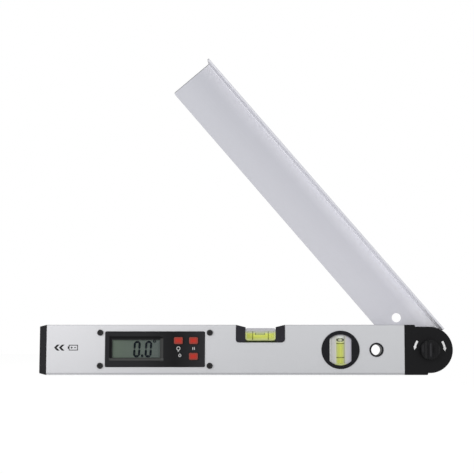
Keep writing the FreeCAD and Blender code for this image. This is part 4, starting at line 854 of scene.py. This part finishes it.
line_ink = Finish("vial_line", Roughness=0.4, Specular_IOR_Level=0.2)
line_cloud = line_ink.cloud(line_ink.place(), 700.0)
line_plain = line_ink.mixed(line_cloud, LINE_DARK, LINE_PALE)
line_fade = line_ink.between(line_ink.axis("Z"), *LINE_FADE)
line_ink.feed("Base Color", line_ink.mixed(line_fade * 0.8, line_plain, TOP_THIN))


def tube_lines(form, radius, places):
    """Adds thin hoops round the Z axis, each about its place along the tube."""
    reach = radius + WET_FILM + LINE_LIFT
    for place in places:
        hoop = bmesh.ops.create_circle(form, cap_ends=False, segments=TUBE_SIDES, radius=reach)
        edges = list({edge for corner in hoop["verts"] for edge in corner.link_edges})
        grown = bmesh.ops.extrude_edge_only(form, edges=edges)["geom"]
        raised = [part for part in grown if isinstance(part, bmesh.types.BMVert)]
        bmesh.ops.translate(form, verts=raised, vec=(0.0, 0.0, LINE_WIDTH))
        whole = hoop["verts"] + raised
        bmesh.ops.translate(form, verts=whole, vec=(0.0, 0.0, place - LINE_WIDTH / 2.0))
    bmesh.ops.recalc_face_normals(form, faces=form.faces)
    bmesh.ops.solidify(form, geom=form.faces[:], thickness=LINE_LIFT)


top_rings = bmesh.new()
tube_lines(top_rings, top_radius, TOP_LINES)
lie_down(top_rings)
bmesh.ops.translate(top_rings, verts=top_rings.verts, vec=(0.0, top_middle.y, top_middle.z))
make_piece(top_rings, "top_vial_lines", "body", line_ink)

round_rings = bmesh.new()
tube_lines(round_rings, round_radius, ROUND_LINES)
bmesh.ops.translate(
    round_rings, verts=round_rings.verts, vec=(round_middle.x, round_middle.y, 0.0)
)
make_piece(round_rings, "round_vial_lines", "body", line_ink)

# The bubbles are air: a flat cap along the top of the level tube, and a lens near the
# top of the upright one, pale inside with painted shade round the rim. Both give off a
# painted glow.
TOP_BUBBLE_PLACE = 34.4
TOP_BUBBLE_LENGTH = 10.4
TOP_BUBBLE_BOTTOM = 39.9
TOP_RIM = (4.0, 4.8)
TOP_RIM_LOW = (41.3, 42.5)
TOP_FOOT = (40.5, 41.0)
TOP_CLEARING = (41.1, 43.3)
ROUND_BUBBLE_PLACE = 34.9
ROUND_BUBBLE_HALF = 1.9
ROUND_BUBBLE_WIDE = 3.9
ROUND_BUBBLE_LENGTH = 4.2
ROUND_RIM = (0.42, 0.98)
ROUND_PAST_RIM = (0.98, 1.15)
BUBBLE_END = 0.5
BUBBLE_LIFT = 0.15
BUBBLE_MIST = 0.08
BUBBLE_PALE = paint(186, 190, 160)
BUBBLE_HIGH = paint(204, 206, 194)
BUBBLE_LOW = paint(168, 177, 122)
BUBBLE_RIM_SHADE = paint(66, 74, 36)
BUBBLE_EDGE_SHADE = paint(16, 20, 6)
BUBBLE_PAINTED_GLOW = 0.5
BUBBLE_GLOSS_AND_GLOW = {"Roughness": 0.2, "Specular_IOR_Level": 0.2, "Emission_Strength": BUBBLE_PAINTED_GLOW}

top_air = Finish("top_bubble", **BUBBLE_GLOSS_AND_GLOW)
air_end = abs(top_air.axis("X") - TOP_BUBBLE_PLACE)
air_z = top_air.axis("Z")
air_rim = top_air.between(air_end, *TOP_RIM)
air_low = 1.0 - top_air.between(air_z, *TOP_RIM_LOW)
air_foot = 1.0 - top_air.between(air_z, *TOP_FOOT)
air_clearing = top_air.between(air_z, *TOP_CLEARING)
air_mist = top_air.cloud(top_air.place(), 400.0)
# Painted shade at the bubble's ends and along its foot.
air_painted_shade = (air_rim * air_low).larger(air_foot * 0.3) + air_mist * BUBBLE_MIST
air_plain = top_air.mixed(air_clearing, BUBBLE_LOW, BUBBLE_HIGH)
top_air.painted_glow(top_air.mixed(air_painted_shade, air_plain, BUBBLE_RIM_SHADE))

bubble = bmesh.new()
round_bar(bubble, top_radius + BUBBLE_LIFT, TOP_BUBBLE_LENGTH, BUBBLE_END)
lie_down(bubble)
bubble_place = (TOP_BUBBLE_PLACE, top_middle.y, top_middle.z)
bmesh.ops.translate(bubble, verts=bubble.verts, vec=bubble_place)
bmesh.ops.bisect_plane(
    bubble,
    geom=bubble.verts[:] + bubble.edges[:] + bubble.faces[:],
    plane_co=(0.0, 0.0, TOP_BUBBLE_BOTTOM),
    plane_no=(0.0, 0.0, -1.0),
    clear_outer=True,
)
open_edges = [edge for edge in bubble.edges if edge.is_boundary]
bmesh.ops.holes_fill(bubble, edges=open_edges)
make_piece(bubble, "top_vial_bubble", "body", top_air)

round_air = Finish("round_bubble", **BUBBLE_GLOSS_AND_GLOW)
air_side = abs(round_air.axis("X") - round_middle.x) / ROUND_BUBBLE_WIDE
air_height = abs(round_air.axis("Z") - ROUND_BUBBLE_PLACE) / ROUND_BUBBLE_HALF
air_reach = air_side * air_side + air_height * air_height
# Painted shade round the bubble's rim, deepest at its sides.
air_rim_shade = round_air.band(air_reach, *ROUND_RIM, 0.12) * (air_side * 0.8 + 0.5)
air_mist = round_air.cloud(round_air.place(), 400.0)
air_plain = round_air.mixed(air_rim_shade + air_mist * BUBBLE_MIST, BUBBLE_PALE, BUBBLE_EDGE_SHADE)
air_beyond = round_air.between(air_reach, *ROUND_PAST_RIM)
above_air = ROUND_BUBBLE_PLACE + ZONE_FADE
air_top = round_air.between(round_air.axis("Z"), ROUND_BUBBLE_PLACE, above_air)
air_round = round_air.mixed(air_top, ROUND_THIN, ROUND_CLEAR)
round_air.painted_glow(round_air.mixed(air_beyond, air_plain, air_round))

round_bubble = bmesh.new()
round_bar(round_bubble, round_radius + BUBBLE_LIFT, ROUND_BUBBLE_LENGTH, BUBBLE_END)
bubble_place = (round_middle.x, round_middle.y, ROUND_BUBBLE_PLACE)
bmesh.ops.translate(round_bubble, verts=round_bubble.verts, vec=bubble_place)
make_piece(round_bubble, "round_vial_bubble", "body", round_air)

# The battery drawer is a black end cap with its tray, which holds two cells and the
# bridge that joins them. Its springs and leads stay in the body.
CAP_BLACK = paint(25, 25, 27)
JACKET_LIGHT = paint(58, 92, 134)
JACKET_DARK = paint(40, 70, 110)
SPRING_LIGHT = paint(205, 203, 196)
SPRING_DARK = paint(176, 172, 164)
LEAD_LIGHT = paint(168, 34, 30)
LEAD_DARK = paint(128, 20, 20)
CABLE_LIGHT = paint(176, 176, 178)
CABLE_DARK = paint(140, 140, 144)

cap_plastic = moulded_black("cap_plastic", CAP_BLACK, grain=0.8, roughness=0.48)
dress(cap_plastic, "battery_end_cap", "battery_tray")
cell_jacket = mottled("cell_jacket", JACKET_LIGHT, JACKET_DARK, grain=3.0, roughness=0.3)
dress(cell_jacket, "battery_cells")
spring_steel = mottled(
    "spring_steel", SPRING_LIGHT, SPRING_DARK, grain=0.8, roughness=0.25, metallic=1.0
)
dress(spring_steel, "battery_bridge", "battery_springs")
lead_jacket = mottled("lead_jacket", LEAD_LIGHT, LEAD_DARK, grain=1.2, roughness=0.45)
dress(lead_jacket, "battery_leads")
flat_cable = mottled("flat_cable", CABLE_LIGHT, CABLE_DARK, grain=1.0, roughness=0.4)
dress(flat_cable, "sensor_ribbon")

# The battery sign by the end cap is printed in black on the body: two arrowheads
# that point to the cap, and a battery with its poles.
BODY_FRONT = -10.5
ARROW_PLACES = (-171.6, -166.7)
ARROW_HALF = 3.0
ARROW_LINE = 2.7
BATTERY_PLACE = (-152.2, 27.2)
BATTERY_SIZE = (9.2, 5.6)
BATTERY_LINE = 0.75
POLE_SIZE = (1.0, 2.4)
POLE_MARKS = ((-1.7, 2.0, 0.8), (-1.7, 0.8, 2.0), (1.7, 2.0, 0.8))

black_print = printed("black_print", paint(6, 6, 8), paint(18, 18, 20))

battery_sign = bmesh.new()
for place in ARROW_PLACES:
    tips = [
        battery_sign.verts.new((place + x, BATTERY_PLACE[1] + y, 0.0))
        for x, y in ((ARROW_HALF, ARROW_HALF), (0.0, 0.0), (ARROW_HALF, -ARROW_HALF))
    ]
    strokes = [battery_sign.edges.new(pair) for pair in zip(tips, tips[1:])]
    grown = bmesh.ops.extrude_edge_only(battery_sign, edges=strokes)["geom"]
    moved = [part for part in grown if isinstance(part, bmesh.types.BMVert)]
    bmesh.ops.translate(battery_sign, verts=moved, vec=(ARROW_LINE, 0.0, 0.0))
case = flat_plate(battery_sign, *BATTERY_PLACE, *BATTERY_SIZE)
case_face = case[0].link_faces[:]
bmesh.ops.inset_region(
    battery_sign, faces=case_face, thickness=BATTERY_LINE, use_boundary=True, use_even_offset=True
)
bmesh.ops.delete(battery_sign, geom=case_face, context="FACES")
pole = BATTERY_PLACE[0] - BATTERY_SIZE[0] / 2.0 - POLE_SIZE[0] / 2.0
flat_plate(battery_sign, pole, BATTERY_PLACE[1], *POLE_SIZE)
for shift, width, height in POLE_MARKS:
    flat_plate(battery_sign, BATTERY_PLACE[0] + shift, BATTERY_PLACE[1], width, height)
thicken(battery_sign, PRINT_DEPTH)
stand_up(battery_sign, 0.0, BODY_FRONT, 0.0)
make_piece(battery_sign, "battery_sign", "body", black_print)

# The hinge is a glass-filled nylon housing with its cover, and the cap behind the arm
# turns with it. All are satin black.
HINGE_BLACK = paint(8, 8, 10)

hinge_plastic = moulded_black("hinge_plastic", HINGE_BLACK, grain=0.9, roughness=0.4)
dress(hinge_plastic, "hinge_housing", "hinge_cover", "arm_rear_cap")

# Inside it are a bronze bush, fibre washers, the clamp bolt with its steel washer, and
# the arm's aluminium hub.
BRONZE_LIGHT = paint(176, 132, 82)
BRONZE_DARK = paint(146, 104, 62)
FIBRE_LIGHT = paint(120, 74, 50)
FIBRE_DARK = paint(92, 54, 36)
BOLT_LIGHT = paint(150, 152, 156)
BOLT_DARK = paint(116, 118, 122)
HUB_LIGHT = paint(196, 197, 201)
HUB_DARK = paint(172, 173, 178)

bronze = mottled(
    "bush_bronze", BRONZE_LIGHT, BRONZE_DARK, grain=0.7, roughness=0.34, metallic=1.0
)
dress(bronze, "hub_bush")
fibre = mottled("washer_fibre", FIBRE_LIGHT, FIBRE_DARK, grain=0.6, roughness=0.7)
dress(fibre, "friction_washer", "knob_washer")
bolt_steel = mottled("bolt_steel", BOLT_LIGHT, BOLT_DARK, grain=0.7, roughness=0.3, metallic=1.0)
dress(bolt_steel, "clamp_bolt", "pressure_washer")
hub_metal = mottled(
    "hub_aluminium", HUB_LIGHT, HUB_DARK, grain=0.9, roughness=0.36, metallic=1.0
)
dress(hub_metal, "arm_hub")

# The clamp's knob is moulded in black nylon over a brass insert. Its ridge is what
# the fingers turn; its crest and the rim at its left have painted highlights.
PIVOT_PLACE = (204.2, 25.0)
KNOB_BLACK = paint(9, 9, 11)
KNOB_HIGHLIGHT = paint(62, 62, 65)
BRASS_LIGHT = paint(206, 170, 96)
BRASS_DARK = paint(176, 140, 72)
CREST_X = (-0.7, 0.7)
CREST_Z = (-6.5, 6.5)
LIT_RIM_X = (-8.4, -6.6)
LIT_RIM_Z = (-2.0, 5.0)

knob_plastic = moulded_black("knob_plastic", KNOB_BLACK, grain=0.6, roughness=0.36)
knob_x = knob_plastic.axis("X") - PIVOT_PLACE[0]
knob_z = knob_plastic.axis("Z") - PIVOT_PLACE[1]
# Painted highlights on the ridge's crest and the rim at its left.
knob_crest_highlight = knob_plastic.band(knob_x, *CREST_X, 0.3) * knob_plastic.band(knob_z, *CREST_Z, 1.0)
rim_height = knob_plastic.band(knob_z, *LIT_RIM_Z, 1.0)
knob_rim_highlight = knob_plastic.band(knob_x, *LIT_RIM_X, 0.5) * rim_height
knob_highlight = knob_crest_highlight * 0.65 + knob_rim_highlight * 0.35
knob_plastic.feed("Base Color", knob_plastic.mixed(knob_highlight, knob_plastic.plain, KNOB_HIGHLIGHT))
dress(knob_plastic, "lock_knob")
insert_brass = mottled(
    "insert_brass", BRASS_LIGHT, BRASS_DARK, grain=0.7, roughness=0.28, metallic=1.0
)
dress(insert_brass, "knob_insert")

# Two white arrows on the cover show which way the knob locks and frees the arm. Each
# is an arc about the pivot that ends in a three-sided head.
COVER_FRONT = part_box("hinge_cover")[0].y / MM
ARROW_RADIUS = 15.0
ARROW_WIDTH = 2.1
ARROW_STEPS = 10
HEAD_REACH = 3.4
HEAD_WIDE = 0.58
HEAD_LONG = 0.67
FREE_ARC = (144.0, 167.0)
LOCK_ARC = (34.0, 7.0)

white_print = printed("white_print", paint(226, 226, 226), paint(252, 252, 252))
turn_arrows = bmesh.new()
for start, end in (FREE_ARC, LOCK_ARC):
    inner = ARROW_RADIUS - ARROW_WIDTH / 2.0
    spoke = [turn_arrows.verts.new((inner + shift, 0.0, 0.0)) for shift in (0.0, ARROW_WIDTH)]
    first = turn_arrows.edges.new(spoke)
    lift = Matrix.Rotation(math.radians(start), 3, "Z")
    bmesh.ops.rotate(turn_arrows, verts=spoke, cent=(0.0, 0.0, 0.0), matrix=lift)
    bmesh.ops.spin(
        turn_arrows,
        geom=spoke + [first],
        cent=(0.0, 0.0, 0.0),
        axis=(0.0, 0.0, 1.0),
        angle=math.radians(end - start),
        steps=ARROW_STEPS,
    )
    tip = bmesh.ops.create_circle(turn_arrows, cap_ends=True, segments=3, radius=1.0)["verts"]
    facing = 1.0 if end > start else -1.0
    head_size = (HEAD_REACH * HEAD_WIDE, HEAD_REACH * HEAD_LONG * facing, 1.0)
    bmesh.ops.scale(turn_arrows, verts=tip, vec=head_size)
    head_place = (ARROW_RADIUS, HEAD_REACH / 3.0 * facing, 0.0)
    bmesh.ops.translate(turn_arrows, verts=tip, vec=head_place)
    swing = Matrix.Rotation(math.radians(end), 3, "Z")
    bmesh.ops.rotate(turn_arrows, verts=tip, cent=(0.0, 0.0, 0.0), matrix=swing)
bmesh.ops.remove_doubles(turn_arrows, verts=turn_arrows.verts, dist=0.001)
thicken(turn_arrows, PRINT_DEPTH)
stand_up(turn_arrows, PIVOT_PLACE[0], COVER_FRONT, PIVOT_PLACE[1])
make_piece(turn_arrows, "turn_arrows", "body", white_print)

# The arm is an L-shaped aluminium section with draw lines along it, like the body. It
# is a shade cooler than the body. Its painted light falls off towards its tip and makes
# it paler along its lower and front edges, the corner, the flange and its root; painted
# shade darkens the flange's outer edge and the cut tip.
ARM_LIT_NEAR = paint(201, 201, 208)
ARM_DIM_FAR = paint(191, 192, 199)
ARM_LIT = paint(214, 214, 220)
CORNER_HIGHLIGHT_NEAR = paint(236, 236, 242)
CORNER_HIGHLIGHT_FAR = paint(212, 212, 218)
FLANGE_LIT_NEAR = paint(234, 234, 240)
FLANGE_LIT_FAR = paint(206, 206, 212)
ARM_TIP_SHADE = paint(96, 98, 98)
ARM_ROOT_LIGHT = paint(250, 250, 254)
ARM_GRAIN = math.radians(-49.3)
ARM_PIVOT_ALONG = 114.2
ARM_PIVOT_ACROSS = 171.1
ARM_FALLOFF_REACH = (30.0, 371.0)
ARM_ROOT_LIGHT_REACH = (55.0, 12.0)
ARM_TIP = (370.1, 370.7)
LOW_EDGE = (5.0, -12.0)
CORNER_REACH = (10.0, 20.5)
FLANGE_FACE = (22.6, 23.2)
FLANGE_BACK = (24.2, 25.0)
FRONT_EDGE = (-9.0, -7.8)

arm_metal, arm_streaks = satin_aluminium("arm_aluminium", ARM_GRAIN)
arm_place = arm_metal.turned(ARM_GRAIN)
arm_along = ARM_PIVOT_ALONG - arm_metal.axis("X", arm_place)
arm_across = arm_metal.axis("Z", arm_place) - ARM_PIVOT_ACROSS
# Painted light: darker towards the tip.
arm_light_falloff = arm_metal.between(arm_along, *ARM_FALLOFF_REACH)
arm_plain = arm_metal.mixed(arm_light_falloff + arm_streaks, ARM_LIT_NEAR, ARM_DIM_FAR)
# Painted light along the lower edge.
arm_low_light = arm_metal.between(arm_across, *LOW_EDGE)
arm_plain = arm_metal.mixed(arm_low_light * 0.2, arm_plain, ARM_LIT)
# A painted highlight along the corner.
arm_corner = arm_metal.between(arm_across, *CORNER_REACH)
corner_highlight = arm_metal.mixed(arm_light_falloff, CORNER_HIGHLIGHT_NEAR, CORNER_HIGHLIGHT_FAR)
corner_highlight_share = arm_corner * (arm_corner * 0.5 + 0.5)
arm_plain = arm_metal.mixed(corner_highlight_share, arm_plain, corner_highlight)
# Painted light on the flange.
arm_flange = arm_metal.between(arm_across, *FLANGE_FACE)
flange_light = arm_metal.mixed(arm_light_falloff, FLANGE_LIT_NEAR, FLANGE_LIT_FAR)
arm_plain = arm_metal.mixed(arm_flange, arm_plain, flange_light)
# Painted light at the root, against the hinge's shade.
arm_root_light = arm_metal.between(arm_along, *ARM_ROOT_LIGHT_REACH)
root_light_share = arm_root_light * (corner_highlight_share * 0.7 + 0.3)
arm_plain = arm_metal.mixed(root_light_share, arm_plain, ARM_ROOT_LIGHT)
# Painted shade on the flange's outer edge.
arm_outer_shade = arm_metal.between(arm_across, *FLANGE_BACK)
arm_plain = arm_metal.mixed(arm_outer_shade, arm_plain, ARM_DIM_FAR)
# A painted highlight on the front edge.
arm_front_highlight = arm_metal.band(arm_metal.axis("Y"), *FRONT_EDGE, 0.2)
arm_plain = arm_metal.mixed(arm_front_highlight, arm_plain, ARM_LIT)
# Painted shade at the cut tip.
arm_tip_shade = arm_metal.between(arm_along, *ARM_TIP)
arm_metal.feed("Base Color", arm_metal.mixed(arm_tip_shade * 0.8, arm_plain, ARM_TIP_SHADE))
dress(arm_metal, "arm_blade")
